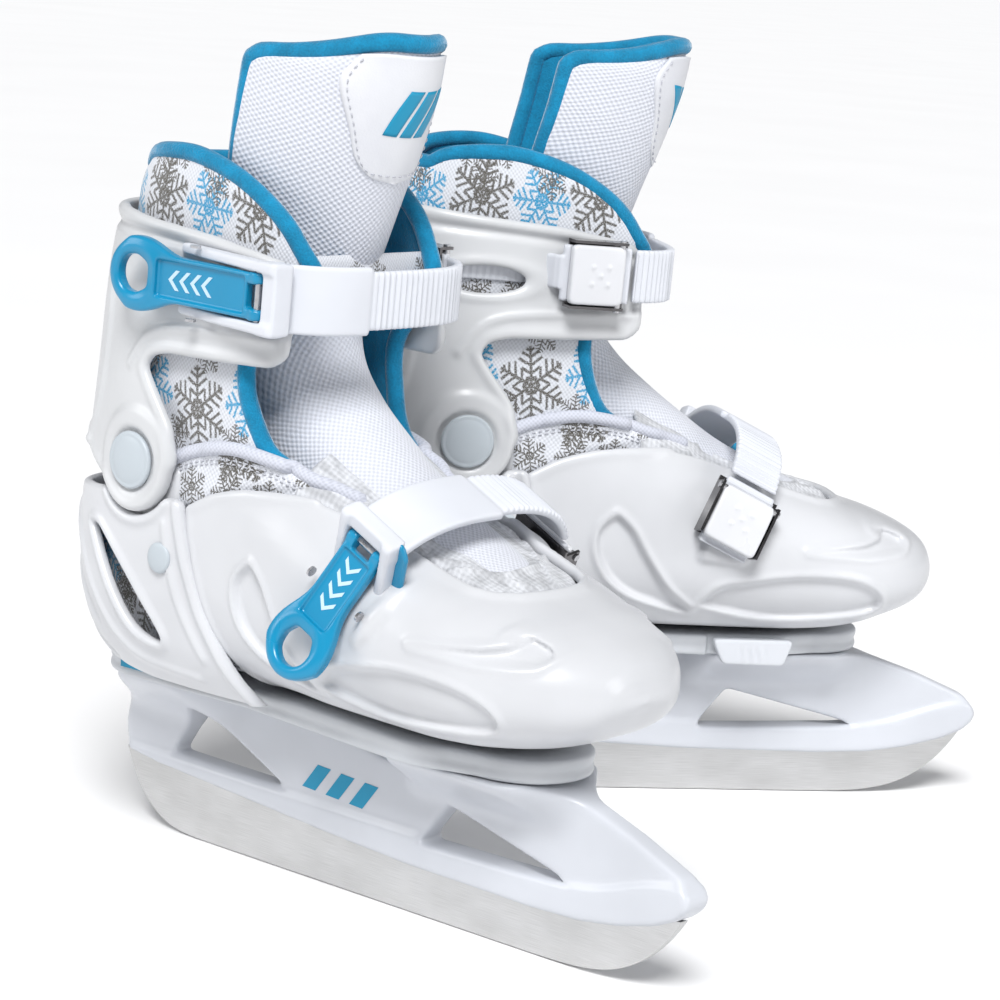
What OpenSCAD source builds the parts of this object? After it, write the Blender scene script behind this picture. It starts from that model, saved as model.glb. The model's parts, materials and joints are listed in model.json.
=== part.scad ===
// A pair of child's adjustable ice skates.
// Each skate is drawn in its own frame: x from the heel towards the toe, z up from the ice,
// lateral side at -y. The left skate is the mirror image, turned and set beside the right one.
// The row origin is the middle of the right blade's running face.

/* [Blade and holder] */
// Length from the heel end to the front tip of the blade holder, mm
holder_length = 266; // [262:1:270]
// Thickness of the steel runner, mm
blade_thickness = 3.2; // [2.6:0.1:4]
// Height of the joint between the runner and the holder, mm
blade_show = 16.6; // [16:0.2:19]
// Width of the rail that grips the runner, mm
rail_width = 12; // [10:0.5:14]
// Width of the web above the rail, mm
web_width = 9; // [8:0.5:12]

/* [Boot] */
// Foremost point of the toe shell, mm from the heel datum
nose_x = 242.3; // [240:0.1:244]
// Greatest half width of the toe shell, mm
toe_half_width = 46.3; // [46:0.1:46.6]
// Wall thickness of the plastic shells, mm
shell_wall = 3; // [2.6:0.1:3]
// Height of the sole plate's underside, mm
sole_z = 58; // [57.5:0.1:58.5]

/* [Buckles] */
// Width of the straps, mm
strap_width = 21; // [20:0.5:22]
// Thickness of the straps, mm
strap_thickness = 2.2; // [2:0.1:2.4]
// Radius of the buckle pins, mm
pin_radius = 1.2; // [1:0.1:1.3]
// Radial clearance of the pins in moving parts, mm
pin_clearance = 0.06; // [0.02:0.01:0.1]

/* [Pair] */
// Turn of the left skate from the right one, degrees
left_turn = 51; // [48:1:54]
// Place of the left skate's heel datum beside the right one's, mm
left_place = [15, 72]; // [0:1:100]

/* [Hidden] */
$fn = 48;

// datum on the right blade that becomes the row origin
origin_x = 126;
// runner: the flat middle and the rise of its ends
flat_start = 62;
flat_end = 190;
blade_heel_x = 15.5;
blade_toe_x = 262;
blade_rise = 25;
tang_top = 23.5;
rocker_power = [4, 3.5];
// sole stack
sole_top = sole_z + 7.7;
shell_floor = 66;
liner_floor = 72.2;
// ankle pivot, and the fixed rivet below it
ankle = [57, 137];
ankle_shaft_r = 4;
ankle_plate_r = 17;
shell_rivet = [72, 107];
// leg sections: height against rear end, half width
leg_rear = [[62, 24], [66, 18], [72, 12], [80, 8], [95, 4.5], [115, 5], [137, 8],
    [170, 12.5], [197, 15.5], [216, 20], [238, 28]];
leg_half = [[62, 31], [66, 34.5], [72, 38], [80, 40.5], [95, 42.8], [115, 43.4], [137, 43.2],
    [170, 43], [197, 42.3], [216, 41.5], [238, 40.5]];
leg_mid_x = 66;
leg_front_x = 140;
// toe shell sections: station against underside, widest height and crown height
foot_low = [[60, 66], [180, 66], [195, 67], [210, 69.5], [225, 73.5], [235, 78], [242.3, 88]];
foot_wide = [[60, 113], [100, 104], [125, 100], [142, 97], [180, 93], [208, 90.5], [242.3, 89]];
foot_crown = [[60, 240], [70, 220], [85, 183], [100, 163.5], [125, 149.5], [142, 139.6],
    [155, 132.5], [180, 123], [200, 116.3], [208, 113.3], [220, 109.5], [231, 105],
    [238, 100], [242.3, 90]];
// offsets inwards from the boot's outer surface
arm_gap = shell_wall + 0.6;
arm_depth = arm_gap + 3;
liner_depth = 7;
liner_wall = 3.4;
liner_gap = 1.8;
collar_depth = 5.8;
// strap frames: a point on the middle plane, the tilt, and the strap's path over the boot
upper_at = [66, 0, 199];
upper_tilt = 2;
upper_half = 46.8;
upper_reach = 65;
upper_power = 3.4;
lower_at = [148, 0, 97];
lower_tilt = -64;
lower_half = 49.5;
lower_reach = 46.7;
lower_power = 2.8;
// levers: hinge point in the strap's plane, direction and length
upper_hinge = [47, -45.5];
upper_lever_turn = -5;
upper_lever_length = 61;
lower_hinge = [33, -42];
lower_lever_turn = -17.7;
lower_lever_length = 49;
// ratchet buckles: place in the strap's plane, and direction
upper_ratchet_at = [33, 43.4];
upper_ratchet_turn = -9.6;
lower_ratchet_at = [18, 45.7];
lower_ratchet_turn = -12.8;
// where each strap leaves its ratchet buckle, along its own path
upper_mouth = 47;
lower_mouth = 31.5;

function sgn_pow(v, e) = sign(v) * pow(abs(v), e);
// horizontal section of the leg at height z, drawn in by d
function leg_ring(z, d, n = 32) =
    let (rear = lookup(z, leg_rear) + d, half = lookup(z, leg_half) - d,
         front = leg_front_x - d)
    [for (i = [0 : n - 1])
        let (t = 360 * i / n, e = cos(t) > 0 ? 2 / 3 : 2 / 2.3,
             reach = cos(t) > 0 ? front - leg_mid_x : leg_mid_x - rear)
        [leg_mid_x + reach * sgn_pow(cos(t), e), half * sgn_pow(sin(t), e), z]];
// plan half width of the forefoot at station x
function foot_half(x, d) =
    let (s = max(0, (x - 170) / (nose_x - d - 170)), back = max(0, (170 - x) / 100))
    x > 170 ? (toe_half_width - d) * pow(max(0.0002, 1 - pow(s, 2.6)), 1 / 2.2)
            : toe_half_width - d - 6.5 * pow(back, 1.6);
// upright section of the forefoot at station x, drawn in by d
function foot_ring(x, d, n = 28) =
    let (half = foot_half(x, d), wide = lookup(x, foot_wide),
         crown = max(wide + 0.3, lookup(x, foot_crown) - d),
         low = min(wide - 0.3, lookup(x, foot_low) + d))
    [for (i = [0 : n - 1])
        let (t = 360 * (i + 0.5) / n, up = sin(t) > 0)
        [x, half * sgn_pow(cos(t), 2 / 2.5),
         wide + (up ? crown - wide : wide - low) * sgn_pow(sin(t), up ? 2 / 2.5 : 2 / 2.7)]];
// point of a strap's path at angle t: 0 at the front, -90 at the lateral side
function strap_point(half, reach, power, t) =
    [reach * sgn_pow(cos(t), 2 / power), half * sgn_pow(sin(t), 2 / power)];
// angle at which a strap's path has reach p
function strap_angle(reach, power, p) = acos(pow(p / reach, power / 2));

// closed solid through rings of equal point count
module loft(rings) {
    n = len(rings[0]);
    last = len(rings) - 1;
    sides = [for (k = [0 : last - 1]) for (i = [0 : n - 1])
        let (a = k * n + i, b = k * n + (i + 1) % n)
        for (f = [[a, b + n, b], [a, a + n, b + n]]) f];
    caps = [[for (i = [0 : n - 1]) i], [for (i = [n - 1 : -1 : 0]) last * n + i]];
    polyhedron([for (r = rings) for (p = r) p], concat(sides, caps), convexity = 6);
}
// one mesh from what it holds
module one_mesh() { resize([0, 0, 0]) children(); }
// upright solid of the leg between two heights, drawn in by d
module leg_solid(heights, d) { loft([for (z = heights) leg_ring(z, d)]); }
// solid of the forefoot, drawn in by d
module foot_solid(stations, d) { loft([for (x = stations) foot_ring(x, d)]); }
// prism across the boot from a side view outline of [x, z] points
module side_prism(y0, y1) {
    translate([0, y1, 0]) rotate([90, 0, 0]) linear_extrude(y1 - y0) children();
}
// places what it holds in a strap's frame: x along its reach, y across, z over its width
module strap_frame(at, tilt) { translate(at) rotate([0, tilt, 0]) children(); }
module upper_frame() { strap_frame(upper_at, upper_tilt) children(); }
module lower_frame() { strap_frame(lower_at, lower_tilt) children(); }
// places what it holds at a lever hinge or a ratchet: +y outwards
module lateral_frame(at, turn) { translate([at.x, at.y, 0]) rotate(-turn) mirror([0, 1, 0]) children(); }
module medial_frame(at, turn) { translate([at.x, at.y, 0]) rotate(turn) children(); }
module upper_lever_frame() { upper_frame() lateral_frame(upper_hinge, upper_lever_turn) children(); }
module lower_lever_frame() { lower_frame() lateral_frame(lower_hinge, lower_lever_turn) children(); }
module upper_ratchet_place() { upper_frame() medial_frame(upper_ratchet_at, upper_ratchet_turn) children(); }
module lower_ratchet_place() { lower_frame() medial_frame(lower_ratchet_at, lower_ratchet_turn) children(); }

/* ---- runner, holder and sole ---- */

// height of the running edge at x
function rocker(x) =
    x < flat_start ? blade_rise * pow((flat_start - x) / (flat_start - blade_heel_x), rocker_power[0])
    : x > flat_end ? blade_rise * pow((x - flat_end) / (blade_toe_x - flat_end), rocker_power[1])
    : 0;
module blade() {
    ends = [for (x = [blade_heel_x : 4.65 : flat_start]) [x, rocker(x)]];
    toe = [for (x = [flat_end : 6 : blade_toe_x]) [x, rocker(x)]];
    color("silver") side_prism(-blade_thickness / 2, blade_thickness / 2)
        polygon(concat(ends, toe, [[258, 30], [246, tang_top], [24, tang_top]]));
}
module holder_profile() {
    difference() {
        polygon([[20, 25.5], [35, 23.6], [55, 22.4], [83, 20.6], [120, 18.2], [153, blade_show],
            [205, blade_show - 0.7], [225, blade_show], [240, 18.8], [254, 22.4], [262, 26],
            [holder_length, 29.8], [holder_length + 0.5, 33.5], [262, 39], [243, 47],
            [221, 54.5], [208, sole_z], [150, sole_z], [141, 49], [104, sole_z], [27, sole_z],
            [22, 51], [18, 42], [16.5, 36], [17.5, 29]]);
        polygon([[41, 29], [96, 28.5], [53.5, 48]]);
        polygon([[157, 25], [222, 26.5], [168.5, 39.9]]);
    }
}
module flare(low, high) {
    hull() {
        translate([low[0], -web_width / 2, 43]) cube([low[1] - low[0], web_width, 1]);
        translate([high[0], -high[2], sole_z - 3]) cube([high[1] - high[0], 2 * high[2], 3]);
    }
}
module holder() {
    slot = blade_thickness + 0.1;
    color("white") difference() {
        union() {
            side_prism(-web_width / 2, web_width / 2) holder_profile();
            side_prism(-rail_width / 2, rail_width / 2) intersection() {
                holder_profile();
                square([280, 28]);
            }
            flare([22, 52], [28, 66, 19]);
            flare([178, 206], [152, 207, 24]);
        }
        side_prism(-slot / 2, slot / 2)
            polygon([[0, 0], [280, 0], [280, 28], [258.2, 30.2], [246, tang_top + 0.1],
                [24, tang_top + 0.1], [0, 24]]);
        for (x = bolt_stations) translate([x, 0, 44]) cylinder(r = bolt_r, h = 20);
    }
}
bolt_stations = [40, 80, 160, 198];
bolt_r = 2.4;
module sole_outline() {
    hull() {
        translate([40, 0]) circle(r = 25);
        translate([92, 0]) circle(r = 24);
    }
    hull() {
        translate([92, 0]) circle(r = 24);
        translate([170, 0]) circle(r = 33);
        translate([202, 0]) circle(r = 24);
    }
}
button_x = 169.5;
button_length = 31;
module sole_plate() {
    color("whitesmoke") difference() {
        translate([0, 0, sole_z]) linear_extrude(sole_top - sole_z) sole_outline();
        for (x = bolt_stations) translate([x, 0, 0]) {
            cylinder(r = bolt_r, h = 90);
            translate([0, 0, sole_top - 3.4]) cylinder(r = 4.7, h = 5);
        }
        translate([button_x - button_length / 2 - 0.3, 26, sole_z - 1])
            cube([button_length + 0.6, 10, sole_top]);
    }
}
module sole_bolts() {
    color("silver") for (x = bolt_stations) translate([x, 0, 0]) {
        translate([0, 0, 45]) cylinder(r = bolt_r, h = sole_top - 48);
        difference() {
            translate([0, 0, sole_top - 3.4]) cylinder(r = 4.5, h = 3);
            translate([0, 0, sole_top - 2.4]) cylinder(r = 2.2, h = 4, $fn = 6);
        }
    }
}
module size_button() {
    half = button_length / 2;
    color("white") side_prism(29, 33.5)
        translate([button_x, 0]) polygon([[-half, sole_top - 0.3], [half, sole_top - 0.3],
            [half - 3.5, sole_top - 10], [4.5 - half, sole_top - 9.6]]);
}

/* ---- shells ---- */

heel_heights = [shell_floor, 72, 80, 95, 108, 119];
module heel_outline() {
    difference() {
        polygon([[-5, shell_floor], [118, shell_floor], [106, 83], [93.5, 102.5], [85.5, 115],
            [78, 123.5], [34, 123.5], [-5, 120]]);
        translate(ankle) circle(r = ankle_plate_r + 0.7);
    }
}
module heel_window() {
    hull() {
        translate([40, 106]) circle(r = 3.4, $fn = 16);
        translate([64, 85]) circle(r = 4.4, $fn = 16);
    }
}
module heel_shell() {
    lower = concat(heel_heights, [124]);
    color("white") difference() {
        one_mesh() union() {
            difference() {
                intersection() {
                    leg_solid(lower, 0);
                    side_prism(-60, 60) heel_outline();
                }
                translate([0, 0, 3]) leg_solid(lower, shell_wall);
                side_prism(-60, 60) heel_window();
            }
            // joggled arms that carry the ankle pivots inside the cuff
            difference() {
                intersection() {
                    leg_solid([106, 119], 0.9);
                    side_prism(-60, 60) polygon([[42, 108], [80, 108], [77, 118.6], [42, 118.6]]);
                }
                leg_solid([100, 125], arm_depth);
            }
            difference() {
                intersection() {
                    leg_solid([110, 137, 156], arm_gap);
                    side_prism(-60, 60) union() {
                        translate(ankle) circle(r = 15);
                        translate([43, 112]) square([32, 24]);
                    }
                }
                leg_solid([100, 137, 160], arm_depth);
            }
        }
        for (s = [-1, 1]) {
            translate([ankle.x, s * 44, ankle.y]) rotate([s * 90, 0, 0])
                cylinder(r = ankle_shaft_r, h = 14);
            translate([shell_rivet.x, s * 46, shell_rivet.y]) rotate([s * 90, 0, 0])
                cylinder(r = 2.5, h = 12);
        }
    }
}
// lateral and medial ankle rivets with their washers, and the two small shell rivets
module rivets() {
    color("gainsboro") for (s = [-1, 1]) {
        translate([ankle.x, s * 43.5, ankle.y]) rotate([-s * 90, 0, 0]) {
            cylinder(r = 9.5, h = 1.5);
            translate([0, 0, 1.5]) cylinder(r1 = 9.5, r2 = 7.6, h = 0.9);
            translate([0, 0, -7.2]) cylinder(r = ankle_shaft_r, h = 7.2);
        }
        translate([shell_rivet.x, s * 43.5, shell_rivet.y]) rotate([-s * 90, 0, 0]) {
            cylinder(r = 5.2, h = 1.2);
            translate([0, 0, -4]) cylinder(r = 2.5, h = 4);
        }
    }
}
module cuff_outline() {
    polygon([[0, 140], [14, 141], [38, 128], [57, 121], [76, 138], [73, 150], [64, 162],
        [60, 168], [63, 172], [70, 173.5], [114, 174.2], [114, 208], [106, 210],
        [86, 213.5], [58, 216], [36, 218.5], [0, 219]]);
    translate(ankle) circle(r = ankle_plate_r);
}
module cuff() {
    heights = [118, 137, 170, 197, 216, 221];
    color("white") difference() {
        one_mesh() difference() {
            intersection() {
                leg_solid(heights, 0);
                side_prism(-60, 60) cuff_outline();
            }
            leg_solid(concat([110], heights, [230]), shell_wall);
            // elliptical window over the end of the ladder strap, medial side
            side_prism(20, 60) translate([60, 194]) scale([14.5, 4.8]) circle(r = 1, $fn = 24);
        }
        for (s = [-1, 1]) translate([ankle.x, s * 46, ankle.y]) rotate([s * 90, 0, 0])
            cylinder(r = ankle_shaft_r + 0.06, h = 12);
        upper_frame() translate([11, 37, -6.5]) cube([10, 8, 13]);
        upper_lever_frame() catch_rivet(upper_catch_at);
        upper_ratchet_place() ratchet_rivet();
    }
}
toe_stations = [70, 85, 100, 125, 142, 155, 170, 185, 200, 212, 222, 231, 237, 240.5, 242];
toe_inner = [60, 85, 100, 125, 142, 155, 170, 185, 200, 212, 222, 229, 234, 237, 238.8];
module toe_shell() {
    color("white") difference() {
        one_mesh() difference() {
            foot_solid(toe_stations, 0);
            foot_solid(toe_inner, shell_wall);
            // rear edge and quarter line
            side_prism(-60, 60) polygon([[50, 50], [125.5, 50], [119.5, 67], [107.5, 84], [95, 103.5],
                [87, 116], [80, 125.5], [87, 131], [101, 134.5], [113, 136.5], [126, 138.5],
                [145, 145], [145, 260], [50, 260]]);
            // opening over the instep
            translate([0, 0, 98]) linear_extrude(90) polygon([[60, 36], [110, 36], [125, 33],
                [142, 28], [155, 23], [180, 17], [198, 11.5], [206, 6], [208, 0], [206, -6],
                [198, -11.5], [180, -17], [155, -23], [142, -28], [125, -33], [110, -36], [60, -36]]);
        }
        lower_lever_frame() catch_rivet(lower_catch_at);
        lower_ratchet_place() ratchet_rivet();
    }
}

/* ---- soft parts ---- */

module liner_foot() {
    leg_h = [liner_floor, 80, 95, 115, 137, 156];
    stations = [82, 100, 125, 142, 155, 175, 195, 212, 222, 229, 234];
    inner = [70, 100, 125, 142, 155, 175, 195, 212, 221, 227];
    gap = shell_wall + liner_gap;
    color("white") one_mesh() difference() {
        union() {
            intersection() {
                leg_solid(leg_h, liner_depth);
                translate([-10, -60, 60]) cube([122, 120, 120]);
            }
            foot_solid(stations, gap);
        }
        leg_solid([liner_floor + liner_wall, 80, 87, 95, 115, 137, 160],
            liner_depth + liner_wall);
        foot_solid(inner, gap + liner_wall);
        translate([0, -60, 40]) cube([260, 120, liner_floor - 40]);
        // top line, low enough for the collar to flex
        side_prism(-60, 60) polygon([[-5, 149], [70, 147], [112, 139], [125, 139], [140, 150],
            [140, 260], [-5, 260]]);
    }
}
module liner_collar() {
    heights = [156, 170, 197, 216, 238];
    color("white") one_mesh() difference() {
        intersection() {
            leg_solid(heights, collar_depth);
            side_prism(-60, 60) polygon([[0, 159], [60, 160], [99, 165], [98, 176], [105, 186],
                [117, 199], [114, 211], [106, 221], [91, 230.5], [74, 236], [62, 237.2],
                [48, 236], [36, 232], [0, 225]]);
        }
        leg_solid([150, 170, 197, 216, 245], collar_depth + 3.6);
    }
}
// front of the tongue at height z, and its section as a padded half ellipse
tongue_front = [[170, 122], [190, 120.5], [215, 122.5], [236, 126], [255, 129.5], [275, 132], [281, 131]];
tongue_mid_x = 80;
tongue_half = 31;
tongue_pad = 7;
function tongue_ring(z, n = 14) =
    let (reach = lookup(z, tongue_front) - tongue_mid_x)
    concat(
        [for (i = [0 : n]) let (t = -90 + 180 * i / n)
            [tongue_mid_x + reach * cos(t), tongue_half * sin(t), z]],
        [for (i = [n : -1 : 0]) let (t = -90 + 180 * i / n)
            [tongue_mid_x + (reach - tongue_pad) * cos(t), (tongue_half - tongue_pad) * sin(t), z]]);
module tongue() {
    color("white") one_mesh() intersection() {
        loft([for (z = [170, 190, 215, 236, 255, 275, 281]) tongue_ring(z)]);
        side_prism(-60, 60) polygon([[79, 195], [70, 240], [79, 262], [88, 275], [100, 281],
            [140, 279], [140, 168], [100, 168]]);
    }
}
// instep cover in the toe shell's opening, rising behind the tongue's lower end
riser_front = [[136, 148], [140, 145], [145, 136], [150, 129], [156, 121], [163, 113.5], [172, 111], [180, 109.5]];
function riser_ring(z, n = 12) =
    let (reach = lookup(z, riser_front) - 84)
    concat(
        [for (i = [0 : n]) let (t = -68 + 136 * i / n) [84 + reach * cos(t), 21.5 * sin(t), z]],
        [for (i = [n : -1 : 0]) let (t = -68 + 136 * i / n)
            [84 + (reach - 4) * cos(t), 17.5 * sin(t), z]]);
module instep() {
    stations = [124, 142, 155, 170, 185, 200, 208];
    color("whitesmoke") one_mesh() difference() {
        union() {
            intersection() {
                foot_solid(stations, 0.9);
                translate([0, 0, 98]) linear_extrude(90) polygon([[125, 30], [142, 25], [155, 20],
                    [180, 14.5], [198, 9.5], [203, 5], [203, -5], [198, -9.5], [180, -14.5],
                    [155, -20], [142, -25], [125, -30]]);
            }
            loft([for (z = [136, 140, 145, 150, 156, 163, 172, 180]) riser_ring(z)]);
        }
        foot_solid([60, 85, 100, 125, 142, 155, 170, 185, 200, 208, 216], shell_wall + liner_gap - 0.4);
    }
}
module insole() {
    color("lightgray") translate([0, 0, liner_floor + liner_wall + 0.4]) linear_extrude(3) {
        hull() {
            translate([46, 0]) circle(r = 18);
            translate([110, 0]) circle(r = 17);
        }
        hull() {
            translate([110, 0]) circle(r = 17);
            translate([172, 0]) circle(r = 19.5);
            translate([188, 0]) circle(r = 12);
        }
    }
}

/* ---- buckles ---- */

housing_half = strap_width / 2 + 0.8;
lever_half = 7.6;
rail_inner = 2;
rail_outer = 2.6;
knuckle_r = 2.7;
upper_catch_at = -26;
lower_catch_at = -16;
// rivet of a catch, along the outward axis, into the shell
module catch_rivet(q) { translate([q, -3.2, 0]) rotate([90, 0, 0]) cylinder(r = 2.5, h = 8); }
module ratchet_rivet() { translate([-3, -0.4, 0]) rotate([90, 0, 0]) cylinder(r = 2.5, h = 6); }
// band that follows a strap's path between two angles
module strap_band(half, reach, power, t0, t1, width, steps) {
    th = strap_thickness / 2;
    ts = [for (i = [0 : steps]) t0 + (t1 - t0) * i / steps];
    outer = [for (t = ts) strap_point(half + th, reach + th, power, t)];
    inner = [for (i = [steps : -1 : 0]) strap_point(half - th, reach - th, power, ts[i])];
    translate([0, 0, -width / 2]) linear_extrude(width) polygon(concat(outer, inner));
}
// round end that the strap turns on, at the buckle's mouth
module strap_end(half, reach, power, at) {
    p = strap_point(half, reach, power, strap_angle(reach, power, at));
    translate([p.x, p.y, -strap_width / 2]) cylinder(r = strap_thickness / 2, h = strap_width);
}
// moulded housing round the lever, with its two rails and the block that joins the band
module housing(rail_length, nose, reach) {
    difference() {
        for (s = [-1, 1]) translate([-rail_length, -rail_inner, s > 0 ? lever_half + 0.3 : -housing_half])
            cube([rail_length + nose, rail_inner + rail_outer, housing_half - lever_half - 0.3]);
        translate([0, 0, -20]) cylinder(r = pin_radius, h = 40, $fn = 24);
    }
    translate([knuckle_r + 0.5, -reach, -housing_half])
        cube([nose - knuckle_r - 0.5, reach + rail_outer - 1, 2 * housing_half]);
}
module lever(length, bow) {
    loop_r = 11.5;
    difference() {
        union() {
            translate([-length + 12, -2, -lever_half]) cube([length - 12, 4, 2 * lever_half]);
            translate([0, 0, -lever_half]) cylinder(r = knuckle_r, h = 2 * lever_half);
            translate([-length + loop_r, 2, 0]) rotate([90, 0, 0]) cylinder(r = loop_r, h = 4);
        }
        translate([0, 0, -20]) cylinder(r = pin_radius + pin_clearance, h = 40, $fn = 24);
        // finger hole
        translate([-length + 5, -5, -6.5]) cube([12, 10, 13]);
        // hollow between the knuckles
        translate([-3.5, -5, -4]) cube([10, 10, 8]);
    }
}
module lever_pin(screw_q) {
    translate([0, 0, -housing_half]) cylinder(r = pin_radius, h = 2 * housing_half, $fn = 24);
    for (s = [-1, 1]) translate([screw_q, 0, s * (housing_half + 0.4)])
        cylinder(r = 1.7, h = 0.8, center = true);
}
module catch(q, depth, length) {
    color("deepskyblue") {
        translate([q - length / 2, -depth, -6]) cube([length, depth - 2.5, 12]);
        for (i = [-2 : 2]) translate([q + 4 * i - 0.8, -2.6, -6]) cube([1.6, 0.4, 12]);
        translate([q, 0.2 - depth, 0]) rotate([90, 0, 0]) cylinder(r = 2.5, h = 2.6);
    }
}
ratchet_half = 12;
module ratchet_frame() {
    color("dimgray") difference() {
        union() {
            translate([-11, -1, -ratchet_half]) cube([22, 1, 2 * ratchet_half]);
            for (s = [-1, 1]) translate([-11, -1, s > 0 ? ratchet_half - 1 : -ratchet_half])
                cube([20, 7.2, 1]);
            translate([-3, -0.8, 0]) rotate([90, 0, 0]) cylinder(r = 2.5, h = 2.8);
        }
        translate([7, 4.9, -20]) cylinder(r = pin_radius, h = 40, $fn = 24);
    }
}
module ratchet_cap() {
    color("white") difference() {
        // eased heel, so that the cap turns clear of the strap beneath
        translate([0, 0, -ratchet_half + 1.4]) linear_extrude(2 * ratchet_half - 2.8)
            polygon([[-12, 3.7], [7.9, 3.7], [9, 4.8], [9, 7.4], [-12, 7.4]]);
        translate([7, 4.9, -20]) cylinder(r = pin_radius + pin_clearance, h = 40, $fn = 24);
    }
}
module ratchet_pin() {
    color("silver") translate([7, 4.9, -ratchet_half - 0.6])
        cylinder(r = pin_radius, h = 2 * ratchet_half + 1.2, $fn = 24);
}

upper_nose = 9;
lower_nose = 8;
upper_start = -strap_angle(upper_reach, upper_power, 51.5);
lower_start = -strap_angle(lower_reach, lower_power, 37);
module upper_strap() {
    color("white") {
        upper_frame() strap_band(upper_half, upper_reach, upper_power, upper_start,
            strap_angle(upper_reach, upper_power, upper_mouth), strap_width, 26);
        upper_frame() strap_end(upper_half, upper_reach, upper_power, upper_mouth);
        upper_lever_frame() housing(38, upper_nose, 6.3);
    }
}
module upper_ladder() {
    mouth = strap_angle(upper_reach, upper_power, upper_mouth - 1.6);
    color("white") {
        upper_frame() strap_band(upper_half, upper_reach, upper_power, mouth,
            strap_angle(upper_reach, upper_power, 20), strap_width - 1, 8);
        // free end, through the cuff's slot and on behind its window
        upper_frame() translate([0, 0, -6]) linear_extrude(12)
            polygon([[22, 45.4], [22, 47.5], [19, 47.6], [13, 38], [-14, 38], [-14, 36.8], [14, 36.8]]);
    }
}
module lower_strap() {
    color("white") {
        lower_frame() strap_band(lower_half, lower_reach, lower_power, lower_start,
            strap_angle(lower_reach, lower_power, lower_mouth), strap_width, 22);
        lower_frame() strap_end(lower_half, lower_reach, lower_power, lower_mouth);
        lower_lever_frame() housing(25, lower_nose, 4.8);
    }
}
module lower_ladder() {
    mouth = strap_angle(lower_reach, lower_power, lower_mouth - 1.6);
    color("white") lower_frame() strap_band(lower_half, lower_reach, lower_power, mouth,
        strap_angle(lower_reach, lower_power, 5), strap_width - 1, 8);
}

module upper_catch() { upper_lever_frame() catch(upper_catch_at, 5.5, 22); }
module upper_lever() { color("deepskyblue") upper_lever_frame() lever(upper_lever_length); }
module upper_lever_pin() { color("silver") upper_lever_frame() lever_pin(-27); }
module upper_ratchet_frame() { upper_ratchet_place() ratchet_frame(); }
module upper_ratchet_cap() { upper_ratchet_place() ratchet_cap(); }
module upper_ratchet_pin() { upper_ratchet_place() ratchet_pin(); }
module lower_catch() { lower_lever_frame() catch(lower_catch_at, 3.05, 18); }
module lower_lever() { color("deepskyblue") lower_lever_frame() lever(lower_lever_length); }
module lower_lever_pin() { color("silver") lower_lever_frame() lever_pin(-18); }
module lower_ratchet_frame() { lower_ratchet_place() ratchet_frame(); }
module lower_ratchet_cap() { lower_ratchet_place() ratchet_cap(); }
module lower_ratchet_pin() { lower_ratchet_place() ratchet_pin(); }

/* ---- the pair ---- */

module right() { translate([-origin_x, 0, 0]) children(); }
module left() {
    translate([left_place.x - origin_x, left_place.y, 0]) rotate(left_turn)
        mirror([0, 1, 0]) children();
}

right() blade();  // right_blade
right() holder();  // right_holder
right() sole_plate();  // right_sole_plate
right() sole_bolts();  // right_sole_bolts
right() heel_shell();  // right_heel_shell
right() rivets();  // right_rivets
right() insole();  // right_insole
right() liner_foot();  // right_liner_foot
right() cuff();  // right_cuff
right() liner_collar();  // right_liner_collar
right() tongue();  // right_tongue
right() instep();  // right_instep
right() toe_shell();  // right_toe_shell
right() size_button();  // right_size_button
right() upper_strap();  // right_upper_strap
right() upper_ladder();  // right_upper_ladder
right() upper_catch();  // right_upper_catch
right() upper_lever();  // right_upper_lever
right() upper_lever_pin();  // right_upper_lever_pin
right() upper_ratchet_frame();  // right_upper_ratchet_frame
right() upper_ratchet_cap();  // right_upper_ratchet_cap
right() upper_ratchet_pin();  // right_upper_ratchet_pin
right() lower_strap();  // right_lower_strap
right() lower_ladder();  // right_lower_ladder
right() lower_catch();  // right_lower_catch
right() lower_lever();  // right_lower_lever
right() lower_lever_pin();  // right_lower_lever_pin
right() lower_ratchet_frame();  // right_lower_ratchet_frame
right() lower_ratchet_cap();  // right_lower_ratchet_cap
right() lower_ratchet_pin();  // right_lower_ratchet_pin

left() blade();  // left_blade
left() holder();  // left_holder
left() sole_plate();  // left_sole_plate
left() sole_bolts();  // left_sole_bolts
left() heel_shell();  // left_heel_shell
left() rivets();  // left_rivets
left() insole();  // left_insole
left() liner_foot();  // left_liner_foot
left() cuff();  // left_cuff
left() liner_collar();  // left_liner_collar
left() tongue();  // left_tongue
left() instep();  // left_instep
left() toe_shell();  // left_toe_shell
left() size_button();  // left_size_button
left() upper_strap();  // left_upper_strap
left() upper_ladder();  // left_upper_ladder
left() upper_catch();  // left_upper_catch
left() upper_lever();  // left_upper_lever
left() upper_lever_pin();  // left_upper_lever_pin
left() upper_ratchet_frame();  // left_upper_ratchet_frame
left() upper_ratchet_cap();  // left_upper_ratchet_cap
left() upper_ratchet_pin();  // left_upper_ratchet_pin
left() lower_strap();  // left_lower_strap
left() lower_ladder();  // left_lower_ladder
left() lower_catch();  // left_lower_catch
left() lower_lever();  // left_lower_lever
left() lower_lever_pin();  // left_lower_lever_pin
left() lower_ratchet_frame();  // left_lower_ratchet_frame
left() lower_ratchet_cap();  // left_lower_ratchet_cap
left() lower_ratchet_pin();  // left_lower_ratchet_pin
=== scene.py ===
"""A pair of child's adjustable ice skates: moulded shells, padded liners, straps and steel runners.

Each piece is made once in a skate's own frame, in millimetres: x from the heel to the toe, y towards
the medial side, z up from the ice. add() sets it in the row's frame for both skates.
"""
import json
import math

import bpy
import numpy as np
from mathutils import Matrix, Vector


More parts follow.
